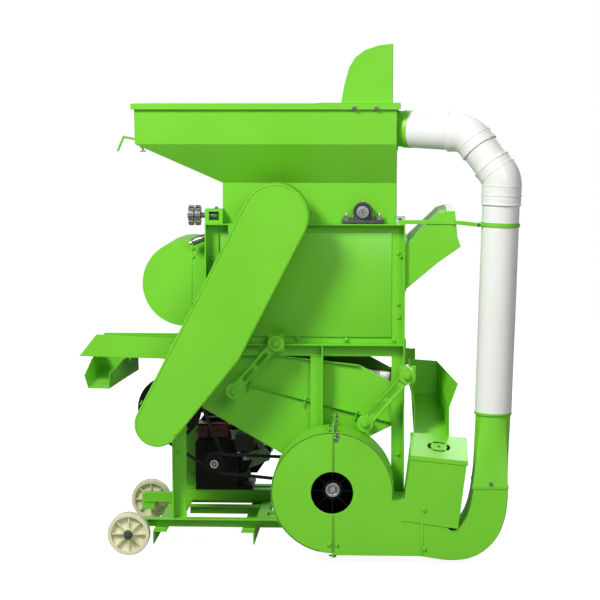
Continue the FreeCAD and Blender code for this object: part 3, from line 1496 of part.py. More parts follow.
def make_brackets(adjuster):
    """Bearing bars, pivot plates, the fan's stand, guard brackets and engine rails."""
    blower_bar = box(
        ("blower_x - 68", "frame_left"),
        ("blower_bearing - bearing_depth / 2", "blower_outer_bearing + bearing_depth / 2"),
        ("blower_height - shaft_height - 40", "blower_height - shaft_height"),
    )
    jackshaft_bar = box(
        ("jackshaft_x - 66", "legs_left + angle_leg"),
        ("angle_leg - frame_half", "bearing_depth / 2 - jackshaft_bearing"),
        ("jackshaft_height - shaft_height - 12.5", "jackshaft_height - shaft_height"),
    )
    plates = []
    for x, z in (("arm_pivot_x", "arm_pivot_height"), ("right_pivot_x", "right_pivot_height")):
        near = "-frame_half - angle_wall"
        plate_ = box((f"{x} - 25", f"{x} + 25"), (near, "-frame_half"), (f"{z} - 26", f"{z} + 26"))
        pin = rod("pivot_radius", x, ("-arm_near - 5", near), z)
        head = rod("pivot_head", x, ("-arm_near - 5", "-arm_near - 0.5"), z)
        spacer = rod("14", x, ("arm_width + 0.5 - arm_near", near), z)
        plates.append(join(plate_, pin, head, spacer))
    reach = ("guard_depth - guard_near", "-frame_half")
    links = [
        box(("-205", "-175"), reach, ("top_rail_top - 26", "top_rail_top")),
        box(("-385", "-355"), reach, ("lower_rail_top - 26", "lower_rail_top")),
    ]
    near_side = [jackshaft_bar, *plates]
    far_side = [mirror(thing) for thing in near_side]
    deep = ("base_leg + 11 - frame_half", "-62")
    stand_top = box(("lift_fan_x - 72", "lift_fan_x + 72"), deep, ("171.5", "lift_fan_height - shaft_height"))
    stand_left = box(("lift_fan_x - 72", "lift_fan_x - 64"), deep, ("skid_top", "172"))
    stand_right = box(("lift_fan_x + 64", "lift_fan_x + 72"), deep, ("skid_top", "172"))
    stand = join(stand_top, stand_left, stand_right)
    stand_rails = [
        box(("base_cross_right", "frame_right - base_leg"), across, ("skid_top - base_leg", "skid_top"))
        for across in (("-95", "-65"), ("base_leg + 11 - frame_half", "base_leg + 41 - frame_half"))
    ]
    start = "legs_left + angle_wall"
    hollow = ("skid_top + 4", "engine_base - 4")
    mounts = [
        cut(
            box((start, "base_cross_right"), (f"{y} - 18", f"{y} + 18"), ("skid_top", "engine_base")),
            box(("legs_left", "base_cross_right + 1"), (f"{y} - 14", f"{y} + 19"), hollow),
        )
        for y in ("92", "157")
    ]
    feet = [
        box((low, high), ("lift_fan_depth - lift_fan_near", "-frame_half"), ("skid_top - 24", "skid_top - 6"))
        for low, high in (("40", "70"), ("200", "230"))
    ]
    far_link = box(("20", "50"), ("frame_half", "far_guard_back"), ("top_rail_top - 40", "top_rail_top"))
    keep("brackets", group(*near_side, *far_side, blower_bar, adjuster, *links, far_link, *feet))
    keep("machine_beds", group(stand, *stand_rails, *mounts))


def make_bolts():
    def hexagon(x, z, radius, low, high):
        turns = [math.radians(60 * step) for step in range(6)]
        return slab([(x + radius * math.cos(t), z + radius * math.sin(t)) for t in turns], low, high)

    bolts = []
    front = -size.frame_half + size.angle_leg - size.angle_wall
    for x, z in ((-262, 895), (308, 909), (-262, 720), (308, 720), (308, 300), (-362, 300)):
        bolts.append(hexagon(x, z, 8, front - 6, front))
    near = -size.lift_fan_near
    for x, z in ((84, 390), (129, 390), (129, 60), (105, 60), (20, 330), (210, 330)):
        bolts.append(hexagon(x, z, 6, near - 5, near))
    for x, z in ((-354, 384), (-396, 590), (-30, 1085), (-110, 985)):
        bolts.append(hexagon(x, z, 7, -size.guard_near - 5, -size.guard_near))
    for x, z in ((340, 300), (495, 290), (330, 160), (475, 140)):
        bolts.append(hexagon(x, z, 6, near - 2 - 5, near - 2))
    for x, z in ((520, 60), (590, 110)):
        bolts.append(hexagon(x, z, 6, near - 5, near))
    for x in (size.rotor_x, size.second_rotor_x):
        for step in (-50, 50):
            for y in (-size.bearing_place, size.bearing_place):
                foot = Vector(x + step, y, size.top_rail_top + 13)
                bolts.append(Part.makeCylinder(8, 7, foot))
    keep("bolts", feature(Part.makeCompound(bolts)))


make_frame()
make_wheels()
make_hopper()
make_gate()
make_casing()
make_rotor(
    "primary_rotor",
    "rotor_x",
    "rotor_radius",
    "-shaft_reach",
    (
        (pulley_points("rotor_belt_y", "rotor_pulley"), collar_points("-frame_half - 3.5")),
        (
            collar_points("frame_half + 3.5"),
            pulley_points("blower_belt_y", "50"),
            pulley_points("return_belt_y", "41"),
        ),
    ),
)
make_rotor(
    "secondary_rotor",
    "second_rotor_x",
    "second_rotor_radius",
    "-frame_half - 17",
    (
        (collar_points("-frame_half - 3.5"),),
        (collar_points("frame_half + 3.5"), pulley_points("return_belt_y", "40")),
    ),
)
keep(
    "concaves",
    feature(
        Part.makeCompound(
            [concave(size.rotor_x, size.rotor_radius), concave(size.second_rotor_x, size.second_rotor_radius)]
        )
    ),
)
make_bearings()
adjuster_bracket = make_adjuster()
make_blower()
make_husk_chute()
make_sieve()
make_chutes()
make_arms()
make_drive()
make_lift_fan()
make_duct()
make_pipe()
make_engine()
make_brackets(adjuster_bracket)
make_bolts()

doc.recompute()
for thing in doc.Objects:
    if {"Invalid", "Error"} & set(thing.State):
        raise RuntimeError(f"{thing.Label} wasn't made: {thing.State}")
os.makedirs("parts", exist_ok=True)
for label, thing in nodes.items():
    shape = thing.Shape
    if shape.isNull() or not shape.isValid():
        raise RuntimeError(f"{label} isn't a valid solid")
    shape.exportStep(f"parts/{label}.step")
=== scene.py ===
# Peanut sheller dressed over its CAD frame. Metres: X along the machine, Y away from the camera, Z up.
import json
import math
import random

import bpy
from mathutils import Matrix, Vector


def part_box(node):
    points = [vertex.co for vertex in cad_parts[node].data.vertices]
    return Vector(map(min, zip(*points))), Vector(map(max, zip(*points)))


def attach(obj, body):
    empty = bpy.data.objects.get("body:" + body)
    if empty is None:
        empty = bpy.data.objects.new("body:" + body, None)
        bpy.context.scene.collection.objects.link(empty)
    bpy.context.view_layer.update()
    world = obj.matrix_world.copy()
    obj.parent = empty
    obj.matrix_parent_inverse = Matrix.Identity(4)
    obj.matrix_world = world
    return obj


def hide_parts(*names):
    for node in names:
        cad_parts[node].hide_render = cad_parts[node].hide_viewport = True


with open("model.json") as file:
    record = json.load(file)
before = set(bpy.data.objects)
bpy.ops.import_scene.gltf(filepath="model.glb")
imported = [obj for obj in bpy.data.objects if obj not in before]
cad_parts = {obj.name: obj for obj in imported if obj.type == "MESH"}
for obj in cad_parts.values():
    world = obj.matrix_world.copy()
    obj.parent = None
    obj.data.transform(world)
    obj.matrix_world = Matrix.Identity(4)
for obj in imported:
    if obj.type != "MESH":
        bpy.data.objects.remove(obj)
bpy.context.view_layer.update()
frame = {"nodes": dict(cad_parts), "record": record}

MM = 0.001
FLOOR_HALF = 9.0
NEAR = Vector((0, -1, 0))
FAR = Vector((0, 1, 0))
UP = Vector((0, 0, 1))


# Colour and material helpers
def linear(hexa):
    """The linear colour of an sRGB hex value."""
    channels = [int(hexa[place : place + 2], 16) / 255 for place in (1, 3, 5)]
    return (*[c / 12.92 if c <= 0.04045 else ((c + 0.055) / 1.055) ** 2.4 for c in channels], 1.0)


def new_material(name):
    material = bpy.data.materials.new(name)
    material.use_nodes = True
    return material


def add_node(material, kind, values=None, links=None, **properties):
    """Adds one node with its properties, the values of its inputs and the sockets that feed them."""
    node = material.node_tree.nodes.new(kind)
    for name, value in properties.items():
        setattr(node, name, value)
    for name, value in (values or {}).items():
        node.inputs[name].default_value = value
    for name, source in (links or {}).items():
        material.node_tree.links.new(source, node.inputs[name])
    return node


def shader_of(material, colour, roughness, **more):
    """The material's Principled shader with its plain values set."""
    shader = material.node_tree.nodes["Principled BSDF"]
    shader.inputs["Base Color"].default_value = linear(colour)
    shader.inputs["Roughness"].default_value = roughness
    for name, value in more.items():
        shader.inputs[name.replace("_", " ").title()].default_value = value
    return shader


def noise_of(material, size_mm, detail=2.0):
    """A noise pattern whose patches are about size_mm across, on Object coordinates."""
    place = add_node(material, "ShaderNodeTexCoord")
    return add_node(
        material,
        "ShaderNodeTexNoise",
        values={"Scale": 1 / (size_mm * MM), "Detail": detail},
        links={"Vector": place.outputs["Object"]},
    )


def vary_colour(material, noise, first, second):
    """The shader's colour drifts between two hex values with the noise."""
    ramp = add_node(material, "ShaderNodeValToRGB", links={"Fac": noise.outputs["Fac"]})
    ramp.color_ramp.elements[0].position = 0.35
    ramp.color_ramp.elements[0].color = linear(first)
    ramp.color_ramp.elements[1].position = 0.65
    ramp.color_ramp.elements[1].color = linear(second)
    shader = material.node_tree.nodes["Principled BSDF"]
    material.node_tree.links.new(ramp.outputs["Color"], shader.inputs["Base Color"])


def vary_roughness(material, noise, low, high):
    spread = add_node(
        material,
        "ShaderNodeMapRange",
        values={"From Min": 0.3, "From Max": 0.7, "To Min": low, "To Max": high},
        links={"Value": noise.outputs["Fac"]},
    )
    shader = material.node_tree.nodes["Principled BSDF"]
    material.node_tree.links.new(spread.outputs["Result"], shader.inputs["Roughness"])


def add_bump(material, noise, depth_mm, strength=1.0, edge_mm=0.0):
    """Fine relief from the noise, over edges whose shading is rounded by edge_mm."""
    links = {"Height": noise.outputs["Fac"]}
    if edge_mm:
        edge = add_node(material, "ShaderNodeBevel", values={"Radius": edge_mm * MM}, samples=4)
        links["Normal"] = edge.outputs["Normal"]
    values = {"Distance": depth_mm * MM, "Strength": strength}
    bump = add_node(material, "ShaderNodeBump", values=values, links=links)
    shader = material.node_tree.nodes["Principled BSDF"]
    material.node_tree.links.new(bump.outputs["Normal"], shader.inputs["Normal"])


# Materials, each named for what the real one is
def lime_enamel():
    """Sprayed lime enamel on sheet steel: satin, its colour drifting a little where the coat is thinner."""
    material = new_material("lime_enamel")
    shader_of(material, "#76CF2B", 0.38)
    cloud = noise_of(material, 240)
    vary_colour(material, cloud, "#74CD29", "#78D22D")
    vary_roughness(material, cloud, 0.35, 0.41)
    # The orange peel of the spray is about 2 mm across, drawn at 9 mm so that it shows
    add_bump(material, noise_of(material, 9), 0.12, 0.35, edge_mm=2.2)
    return material


def ivory_nylon():
    """Moulded nylon of the wheels: warm white, waxy, faintly mottled."""
    material = new_material("ivory_nylon")
    shader_of(material, "#E4E2BE", 0.42)
    vary_colour(material, noise_of(material, 30), "#DEDCB4", "#E9E8C8")
    return material


def white_pvc():
    """Extruded PVC pipe: cold white with a soft gloss."""
    material = new_material("white_pvc")
    shader_of(material, "#F1F1ED", 0.34)
    vary_colour(material, noise_of(material, 300), "#EFEFEB", "#F2F2EF")
    return material


def zinc_plate():
    """Zinc-plated steel of fasteners, shafts and screens: pale metal, slightly cloudy."""
    material = new_material("zinc_plate")
    shader_of(material, "#B9BBB8", 0.36, metallic=1.0)
    vary_roughness(material, noise_of(material, 14), 0.28, 0.46)
    return material


def iron_casting():
    """Sand-cast iron of the bearings under thin dark paint: grainy and dull."""
    material = new_material("iron_casting")
    shader_of(material, "#3F4547", 0.55)
    vary_colour(material, noise_of(material, 18), "#383E40", "#4A5153")
    add_bump(material, noise_of(material, 3), 0.3, 0.5, edge_mm=1.5)
    return material


def burnished_steel():
    """Dark steel of the star wheels, rubbed bright by hands."""
    material = new_material("burnished_steel")
    shader_of(material, "#8E8C88", 0.27, metallic=1.0)
    grain = noise_of(material, 6)
    vary_colour(material, grain, "#77746F", "#A9A7A3")
    add_bump(material, grain, 0.2, 0.4, edge_mm=1.2)
    return material


def oiled_steel():
    """Bare forged steel of the connecting rod, brown with oil and dust."""
    material = new_material("oiled_steel")
    shader_of(material, "#4A3C31", 0.5, metallic=0.6)
    vary_colour(material, noise_of(material, 25), "#3C3029", "#5A4A3C")
    return material


def black_enamel_and_painted_shade():
    """Stoved black enamel on engine and pulleys, with a dusty sheen, partly painted shade: its colour and
    specular are set darker than the enamel's own.
    """
    material = new_material("black_enamel_and_painted_shade")
    # Painted shade: the near-black colour and the low specular level stand for the shade that falls over the
    # engine.
    shader = shader_of(material, "#070808", 0.42)
    shader.inputs["Specular IOR Level"].default_value = 0.22
    cloud = noise_of(material, 40)
    vary_roughness(material, cloud, 0.34, 0.55)
    add_bump(material, cloud, 0.1, 0.2, edge_mm=1.5)
    return material


def black_abs():
    """Moulded black ABS with a fine grain."""
    material = new_material("black_abs")
    shader_of(material, "#17181A", 0.5)
    add_bump(material, noise_of(material, 2), 0.1, 0.4)
    return material


def red_enamel():
    """Dark red gloss enamel of tank and starter, with a fine film of dust."""
    material = new_material("red_enamel")
    shader_of(material, "#5E0F10", 0.3)
    vary_roughness(material, noise_of(material, 50), 0.18, 0.36)
    return material


def grey_green_enamel():
    """Grey-green enamel of the engine's covers, mottled a little with dust."""
    material = new_material("grey_green_enamel")
    shader_of(material, "#9AA08E", 0.42)
    dust = noise_of(material, 22)
    vary_colour(material, dust, "#8B917F", "#A9AF9D")
    add_bump(material, dust, 0.1, 0.2, edge_mm=1.5)
    return material


def belt_rubber():
    """Fabric-faced rubber of the V-belts: dull black with a brown cast and the cloth's fine relief."""
    material = new_material("belt_rubber")
    shader_of(material, "#161413", 0.75)
    add_bump(material, noise_of(material, 1.5), 0.2, 0.5)
    return material


MATERIALS = {
    "green_paint": lime_enamel(),
    "ivory_nylon": ivory_nylon(),
    "white_pipe": white_pvc(),
    "bright_steel": zinc_plate(),
    "grey_casting": iron_casting(),
    "black_paint": black_enamel_and_painted_shade(),
    "black_plastic": black_abs(),
    "red_paint": red_enamel(),
    "grey_green_paint": grey_green_enamel(),
    "belt_rubber": belt_rubber(),
}
BURNISHED = burnished_steel()
WORN = {
    "adjuster_screw": BURNISHED,
    "connecting_rod": oiled_steel(),
    "wheel_axles": MATERIALS["green_paint"],
    "throttle_lever": MATERIALS["black_paint"],
    "feed_gate": MATERIALS["green_paint"],
}


def dress_nodes():
    """Every CAD node gets the material of its slot in the record, or its own where use has changed it."""
    for row in frame["record"]["subparts"]:
        piece = frame["nodes"][row["node"]]
        piece.data.materials.clear()
        piece.data.materials.append(WORN.get(row["node"], MATERIALS[row["material_slot"]]))


# Modelling helpers
def clear_selection():
    bpy.ops.object.select_all(action="DESELECT")


def choose(piece):
    clear_selection()
    piece.select_set(True)
    bpy.context.view_layer.objects.active = piece


def pick_faces(piece, test):
    """Selects the faces whose centre and normal pass the test, and goes into edit mode."""
    choose(piece)
    bpy.ops.object.mode_set(mode="EDIT")
    bpy.ops.mesh.select_all(action="DESELECT")
    bpy.ops.mesh.select_mode(type="FACE")
    bpy.ops.object.mode_set(mode="OBJECT")
    for face in piece.data.polygons:
        face.select = test(face.center, face.normal)
    bpy.ops.object.mode_set(mode="EDIT")


def leave_edit():
    bpy.ops.object.mode_set(mode="OBJECT")


def apply_place(piece):
    choose(piece)
    bpy.ops.object.transform_apply(location=True, rotation=True, scale=True)


def joined(pieces, name):
    """The pieces as one object at the origin."""
    clear_selection()
    for piece in pieces:
        piece.select_set(True)
    bpy.context.view_layer.objects.active = pieces[0]
    if len(pieces) > 1:
        bpy.ops.object.join()
    whole = bpy.context.object
    whole.name = name
    whole.data.name = name
    apply_place(whole)
    return whole


def copies(model, places):
    """A copy of the model, with its own mesh, at each place; the model itself goes."""
    made = []
    for matrix in places:
        copy = model.copy()
        copy.data = model.data.copy()
        bpy.context.scene.collection.objects.link(copy)
        copy.matrix_world = matrix @ model.matrix_world
        made.append(copy)
    bpy.data.objects.remove(model)
    return made


def stand(at, way, turn=0.0):
    """The matrix that stands a model on a point, its +Z along a direction, turned about that direction."""
    turned = Vector(way).to_track_quat("Z", "Y").to_matrix().to_4x4()
    return Matrix.Translation(Vector(at)) @ turned @ Matrix.Rotation(turn, 4, "Z")


def finish_piece(piece, slot, body="frame", angle=30, stands_for=(), worn=None):
    """Gives a finished piece its material, its smooth faces and the body that it rides on."""
    choose(piece)
    bpy.ops.object.shade_smooth_by_angle(angle=math.radians(angle))
    piece.data.materials.clear()
    piece.data.materials.append(worn or MATERIALS[slot])
    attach(piece, body)
    if stands_for:
        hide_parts(*stands_for)
    return piece


def disc(radius, low, high, sides=32):
    """A round solid standing on the Z axis between two heights."""
    clear_selection()
    bpy.ops.mesh.primitive_cylinder_add(
        vertices=sides, radius=radius, depth=high - low, location=(0, 0, (low + high) / 2)
    )
    return bpy.context.object


def bevelled(piece, width, segments=2, limit=40):
    """The piece with its sharp edges rounded."""
    choose(piece)
    rounding = piece.modifiers.new("rounded", "BEVEL")
    rounding.width = width
    rounding.segments = segments
    rounding.limit_method = "ANGLE"
    rounding.angle_limit = math.radians(limit)
    bpy.ops.object.modifier_apply(modifier=rounding.name)
    return piece


def hex_bolt(across, head, thread=0.0):
    """A hexagon head with a turned chamfer on its washer, its thread going down."""
    radius = across / 2 / math.cos(math.radians(30))
    washer = 1.6 * MM
    bolt = disc(radius, washer, washer + head, sides=6)
    pick_faces(bolt, lambda centre, normal: normal.z > 0.9)
    bpy.ops.mesh.inset(thickness=radius * 0.13)
    bpy.ops.transform.translate(value=(0, 0, head * 0.12))
    leave_edit()
    parts = [bolt, disc(radius * 1.28, 0, washer, sides=28)]
    if thread:
        parts.append(disc(across * 0.3, -thread, washer, sides=20))
    return joined(parts, "bolt_model")


def circle(radius, at=(0, 0), sides=40):
    """Points round a circle, in millimetres."""
    turns = [math.tau * step / sides for step in range(sides)]
    return [(at[0] + radius * math.cos(turn), at[1] + radius * math.sin(turn)) for turn in turns]


def slot_points(start, end, radius, steps=8):
    """The outline of a slot along X with round ends, in millimetres."""
    points = []
    for centre, first in ((end, -90), (start, 90)):
        for step in range(steps + 1):
            turn = math.radians(first + 180 * step / steps)
            points.append((centre + radius * math.cos(turn), radius * math.sin(turn)))
    return points


def plate_of(outlines, low, high, rounding):
    """A plate standing on Z with rounded edges: its outline first, then its holes, in millimetres."""
    curve = bpy.data.curves.new("outline", "CURVE")
    curve.dimensions = "2D"
    curve.fill_mode = "BOTH"
    curve.extrude = ((high - low) / 2 - rounding) * MM
    curve.bevel_depth = rounding * MM
    curve.offset = -rounding * MM
    curve.bevel_resolution = 2
    for points in outlines:
        spline = curve.splines.new("POLY")
        spline.points.add(len(points) - 1)
        for point, (x, y) in zip(spline.points, points):
            point.co = (x * MM, y * MM, 0, 1)
        spline.use_cyclic_u = True
    drawn = bpy.data.objects.new("outline", curve)
    bpy.context.scene.collection.objects.link(drawn)
    drawn.location = (0, 0, (low + high) / 2 * MM)
    choose(drawn)
    bpy.ops.object.convert(target="MESH")
    plate = bpy.context.object
    apply_place(plate)
    return plate


def facing(at, along, out):
    """The matrix that lays a model's X along one direction and its Z towards another."""
    along, out = Vector(along).normalized(), Vector(out).normalized()
    turned = Matrix((along, out.cross(along), out)).transposed().to_4x4()
    return Matrix.Translation(Vector(at) * MM) @ turned


def placed(piece, matrix):
    piece.matrix_world = matrix
    apply_place(piece)
    return piece


def make_bolts():
    """Painted hexagon bolts in place of the plain CAD heads, and the bright ones at seam and riser."""
    panel = -179
    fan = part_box("lift_fan_left_shell")[0].y / MM
    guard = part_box("belt_guard")[0].y / MM
    painted = [(x, panel, z) for x, z in ((-262, 895), (306, 915), (-262, 720), (308, 720))]
    painted += [(x, panel, z) for x, z in ((308, 300), (-362, 300), (312, 905))]
    painted += [(129, fan, 60), (105, fan, 60), (388, fan, 50), (387, fan - 2, 168)]
    painted += [(-354, guard, 384)]
    model = hex_bolt(9 * MM, 3.6 * MM)
    made = copies(model, [stand(Vector(spot) * MM, NEAR, 0.1 * spot[0]) for spot in painted])
    finish_piece(joined(made, "panel_bolts"), "green_paint", stands_for=("bolts",))

    bright = [(125, fan, 376), (129, fan, 388), (584, fan, 247)]
    bright_model = hex_bolt(8 * MM, 4 * MM)
    made = copies(bright_model, [stand(Vector(spot) * MM, NEAR, 0.1 * spot[0]) for spot in bright])
    finish_piece(joined(made, "seam_and_riser_bolts"), "bright_steel", worn=BURNISHED)


def guard_outline(inset):
    """The belt guard's outline in X and Z, moved in from its edge."""
    top, foot = Vector((-56, 1034)), Vector((-411, 411))
    top_radius, foot_radius = 98 - inset, 68 - inset
    span = top - foot
    left = math.degrees(math.atan2(span.y, span.x) + math.acos(30 / span.length))
    points = []
    for centre, radius, first, last in ((top, top_radius, -27.3, left), (foot, foot_radius, left, 321.3)):
        for step in range(25):
            turn = math.radians(first + (last - first) * step / 24)
            points.append((centre.x + radius * math.cos(turn), centre.y + radius * math.sin(turn)))
    return points + [(-166 - inset, 606 + inset / 2)]


def make_covers():
    """The rolled lip round the belt guard's face, and the casing's cover sheet between its posts."""
    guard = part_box("belt_guard")[0].y / MM
    lip = plate_of([guard_outline(3), guard_outline(6)], 0, 1.2, 0.5)
    placed(lip, facing((0, guard, 0), (1, 0, 0), NEAR))
    lip.name = "guard_lip"
    finish_piece(lip, "green_paint")
    cover = plate_block(520, 2, 318, 0.9, (27, -180, 818))
    cover.name = "casing_cover"
    finish_piece(cover, "green_paint")


def make_arms():
    """Cast swing arms in place of the plain CAD ones: bored eyes and a ribbed bar with two slots."""
    lean, drop, eye, bore, middle = 127, 146, 25.5, 8.4, 238
    length = math.hypot(lean, drop)
    edge = 15.5
    ends = [(eye - 6, -edge), (length - eye + 6, -edge), (length - eye + 6, edge), (eye - 6, edge)]
    inner = [(eye, 4 - edge), (length - eye, 4 - edge), (length - eye, edge - 4), (eye, edge - 4)]
    for hand, x, z in (("left", -61, 646), ("right", 336, 549)):
        for where, side in (("near", -1), ("far", 1)):
            slot_places = (length * 0.34, length * 0.66)
            web = [ends] + [slot_points(spot - 19, spot + 19, 6) for spot in slot_places]
            parts = [plate_of(web, -6, 6, 1), plate_of([ends, inner], -9.5, 9.5, 1.6)]
            for along in (0, length):
                parts.append(plate_of([circle(eye, (along, 0), 48), circle(bore, (along, 0))], -12, 12, 2))
            arm = joined(parts, f"{where}_{hand}_casting")
            placed(arm, facing((x, side * middle, z), (-lean, 0, -drop), (0, side, 0)))
            body = f"{where}_{hand}_arm"
            finish_piece(arm, "green_paint", body, stands_for=(body,))

    nut = hex_bolt(13 * MM, 5 * MM)
    for name, body, spots in (
        ("upper_pivot_nuts", "frame", ((-61, 646), (336, 549))),
        ("lower_pivot_nuts", "sieve", ((-188, 500), (209, 403))),
    ):
        places = [stand(Vector((x, -255, z)) * MM, NEAR, x) for x, z in spots]
        places += [stand(Vector((x, 255, z)) * MM, FAR, x) for x, z in spots]
        model = nut.copy()
        model.data = nut.data.copy()
        bpy.context.scene.collection.objects.link(model)
        finish_piece(joined(copies(model, places), name), "green_paint", body)
    bpy.data.objects.remove(nut)


def make_fan_details():
    """What the photograph shows on the lift fan and ducts: seam lips, hub ring, the elbow's lap."""
    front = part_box("lift_fan_left_shell")[0].y / MM
    lips = []
    for low, high in ((38, 150), (282, 392)):
        for x in (113, 118):
            lips.append(plate_block(3.2, 1.6, high - low, 0.6, (x + 1.6, front - 0.8, (low + high) / 2)))
    lips.append(plate_block(7, 1.6, 98, 0.6, (382, front - 0.8, 77)))
    finish_piece(joined(lips, "seam_lips"), "green_paint")
    gaskets = []
    for low, high in ((38, 150), (282, 392)):
        gaskets.append(plate_block(2.6, 1, high - low, 0.3, (117.1, front - 0.5, (low + high) / 2)))
    finish_piece(joined(gaskets, "seam_gaskets"), "belt_rubber")

    ring = plate_of([circle(22), circle(14)], 0, 6, 1.5)
    inner = plate_of([circle(13), circle(10)], 0, 4, 0.8)
    tip = disc(9.2 * MM, 7 * MM, 9.5 * MM, 28)
    bevelled(tip, 0.8 * MM, 2)
    hub = placed(joined([ring, inner, tip], "fan_hub_ring"), stand(Vector((114, -326, 216)) * MM, NEAR))
    finish_piece(hub, "bright_steel", "lift_fan_impeller")


def smoothed(points, steps=6):
    """A smooth curve through the points, in millimetres."""
    spots = [Vector(point) for point in points]
    spots = [2 * spots[0] - spots[1], *spots, 2 * spots[-1] - spots[-2]]
    curve = []
    for a, b, c, d in zip(spots, spots[1:], spots[2:], spots[3:]):
        for step in range(steps):
            t = step / steps
            square, cube = 2 * a - 5 * b + 4 * c - d, 3 * b - a - 3 * c + d
            curve.append((2 * b + (c - a) * t + square * t**2 + cube * t**3) / 2)
    return curve + [spots[-2]]


def sheet_band(points, wall):
    """The section of a sheet bent along a curve, the sheet's thickness to the left of it."""
    inside = []
    for place, point in enumerate(points):
        before, after = points[max(place - 1, 0)], points[min(place + 1, len(points) - 1)]
        along = (after - before).normalized()
        inside.append(point + Vector((-along.y, along.x)) * wall)
    return points + inside[::-1]


def make_elbow():
    """The elbow duct with its back rolled smooth, in place of the faceted CAD one."""
    low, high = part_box("elbow_duct")
    near, far = low.y / MM, high.y / MM
    back = [(376, 28), (456, 18), (512, 22), (556, 40), (592, 72)]
    back += [(614, 109), (628, 155), (633, 200), (634, 236)]
    throat = [(470, 105), (486, 111), (508, 142), (522, 184), (531, 236)]
    outer, inner = smoothed(back), smoothed(throat)
    top = [Vector((376, 194)), Vector((388, 180))]
    side = outer + inner[::-1] + [Vector((430, 130)), Vector((376, 194))]
    sheets = []
    for section, y, deep in (
        (side, near + 2, 2),
        (side, far, 2),
        (sheet_band(outer, 2), far, far - near),
        (sheet_band(inner, -2), far, far - near),
        (sheet_band(top, -2), far, far - near),
    ):
        sheets.append(placed(plate_of([section], 0, deep, 0.3), facing((0, y, 0), (1, 0, 0), NEAR)))
    finish_piece(joined(sheets, "elbow_sheets"), "green_paint", stands_for=("elbow_duct",))


def make_blower_details():
    """The blower's seam with its small bolts, and the damper's spindle on the frame post."""
    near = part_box("blower_casing")[0].y / MM
    seam = plate_block(5, 1.6, 236, 0.6, (-326, near - 0.8, 820))
    bolt = hex_bolt(7 * MM, 3 * MM)
    spots = [(-320, near, z) for z in (900, 925, 760, 735)]
    made = copies(bolt, [stand(Vector(spot) * MM, NEAR, spot[2]) for spot in spots])
    finish_piece(joined([seam] + made, "blower_seam"), "green_paint")

    rod = disc(11 * MM, 0, 42 * MM)
    bevelled(rod, 1.2 * MM, 2)
    tip = disc(4.5 * MM, 41 * MM, 52 * MM, 20)
    place = stand(Vector((-279, -186, 962)) * MM, (-0.93, 0, -0.37))
    spindle = placed(joined([rod, tip], "damper_spindle"), place)
    finish_piece(spindle, "bright_steel", worn=BURNISHED)


def make_pipe_details():
    """The step in each socket of the elbows, the deep lower socket and the painted collar at the hopper."""
    foot, first, second, end = [
        Vector(point) for point in ((591, -300, 453), (611, -300, 1148), (512, -262, 1280), (325, -185, 1290))
    ]
    outer, bend = 58.5, 62
    ends = []
    for before, at, after in ((foot, first, second), (first, second, end)):
        coming, going = (at - before).normalized(), (after - at).normalized()
        reach = bend * math.tan(coming.angle(going) / 2)
        ends += [(at - coming * reach, coming), (at + going * reach, going)]
    steps = []
    for spot, way in ends:
        ring = plate_of([circle(outer + 1, sides=64), circle(outer - 1, sides=64)], -2, 2, 0.8)
        steps.append(placed(ring, stand(spot * MM, way)))
    lip = ends[0][0] - ends[0][1] * 30
    down = (foot - first).normalized()
    deep = plate_of([circle(outer, sides=64), circle(55.3, sides=64)], 0, 27, 0.8)
    rim = plate_of([circle(outer + 2, sides=64), circle(55.3, sides=64)], 22, 27, 1)
    steps.append(placed(joined([deep, rim], "deep_socket"), stand(lip * MM, down)))
    finish_piece(joined(steps, "socket_steps"), "white_pipe")
    collar = plate_of([circle(56.4, sides=64), circle(55.2, sides=64)], 0, 24, 0.5)
    placed(collar, stand(end * MM, second - end))
    collar.name = "painted_collar"
    finish_piece(collar, "green_paint")


def make_small_bolts():
    """Bright bolts under the hopper's rim, on the stay bar and on the adjusting screw's bracket."""
    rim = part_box("hopper")[0].y / MM
    spots = [((x, rim, 1352), NEAR) for x in (175, 240)]
    spots += [((543, -320, 1011), NEAR), ((311, -198, 1017), UP), ((-243, -198, 1049), UP)]
    bolt = hex_bolt(9 * MM, 4.5 * MM)
    made = copies(bolt, [stand(Vector(spot) * MM, way, spot[0]) for spot, way in spots])
    finish_piece(joined(made, "rim_and_stay_bolts"), "bright_steel", worn=BURNISHED)


def make_axle_nuts():
    """Dark nuts with washers on the ends of the wheels' axles."""
    low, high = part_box("near_wheel")
    x, z = (low.x + high.x) / 2 / MM, (low.z + high.z) / 2 / MM
    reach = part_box("wheel_axles")[1].y / MM
    washer = plate_of([circle(13.5)], 0, 2.5, 0.8)
    nut = joined([washer, placed(hex_bolt(16 * MM, 8 * MM), Matrix.Translation((0, 0, 2 * MM)))], "nut_model")
    near_end = stand(Vector((x, -reach, z)) * MM, NEAR, 0.3)
    far_end = stand(Vector((x, reach, z)) * MM, FAR)
    made = copies(nut, [near_end, far_end])
    finish_piece(joined(made, "axle_nuts"), "grey_casting")


def make_painted_casing_shade():
    """A dark strip of painted shade along the gap where the fan casing's front sheet meets its rim."""
    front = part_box("lift_fan_left_shell")[0].y / MM
    turns = [math.radians(-6 + 264 * step / 66) for step in range(67)]
    outside = [(114 + 180.4 * math.cos(turn), 216 + 180.4 * math.sin(turn)) for turn in turns]
    inside = [(114 + 178.6 * math.cos(turn), 216 + 178.6 * math.sin(turn)) for turn in reversed(turns)]
    seal = placed(plate_of([outside + inside], 0, 0.6, 0.2), facing((0, front, 0), (1, 0, 0), NEAR))
    seal.name = "painted_casing_shade"
    # Painted shade: the dark rubber colour stands for the shadow in the gap at the casing's rim.
    finish_piece(seal, "belt_rubber")


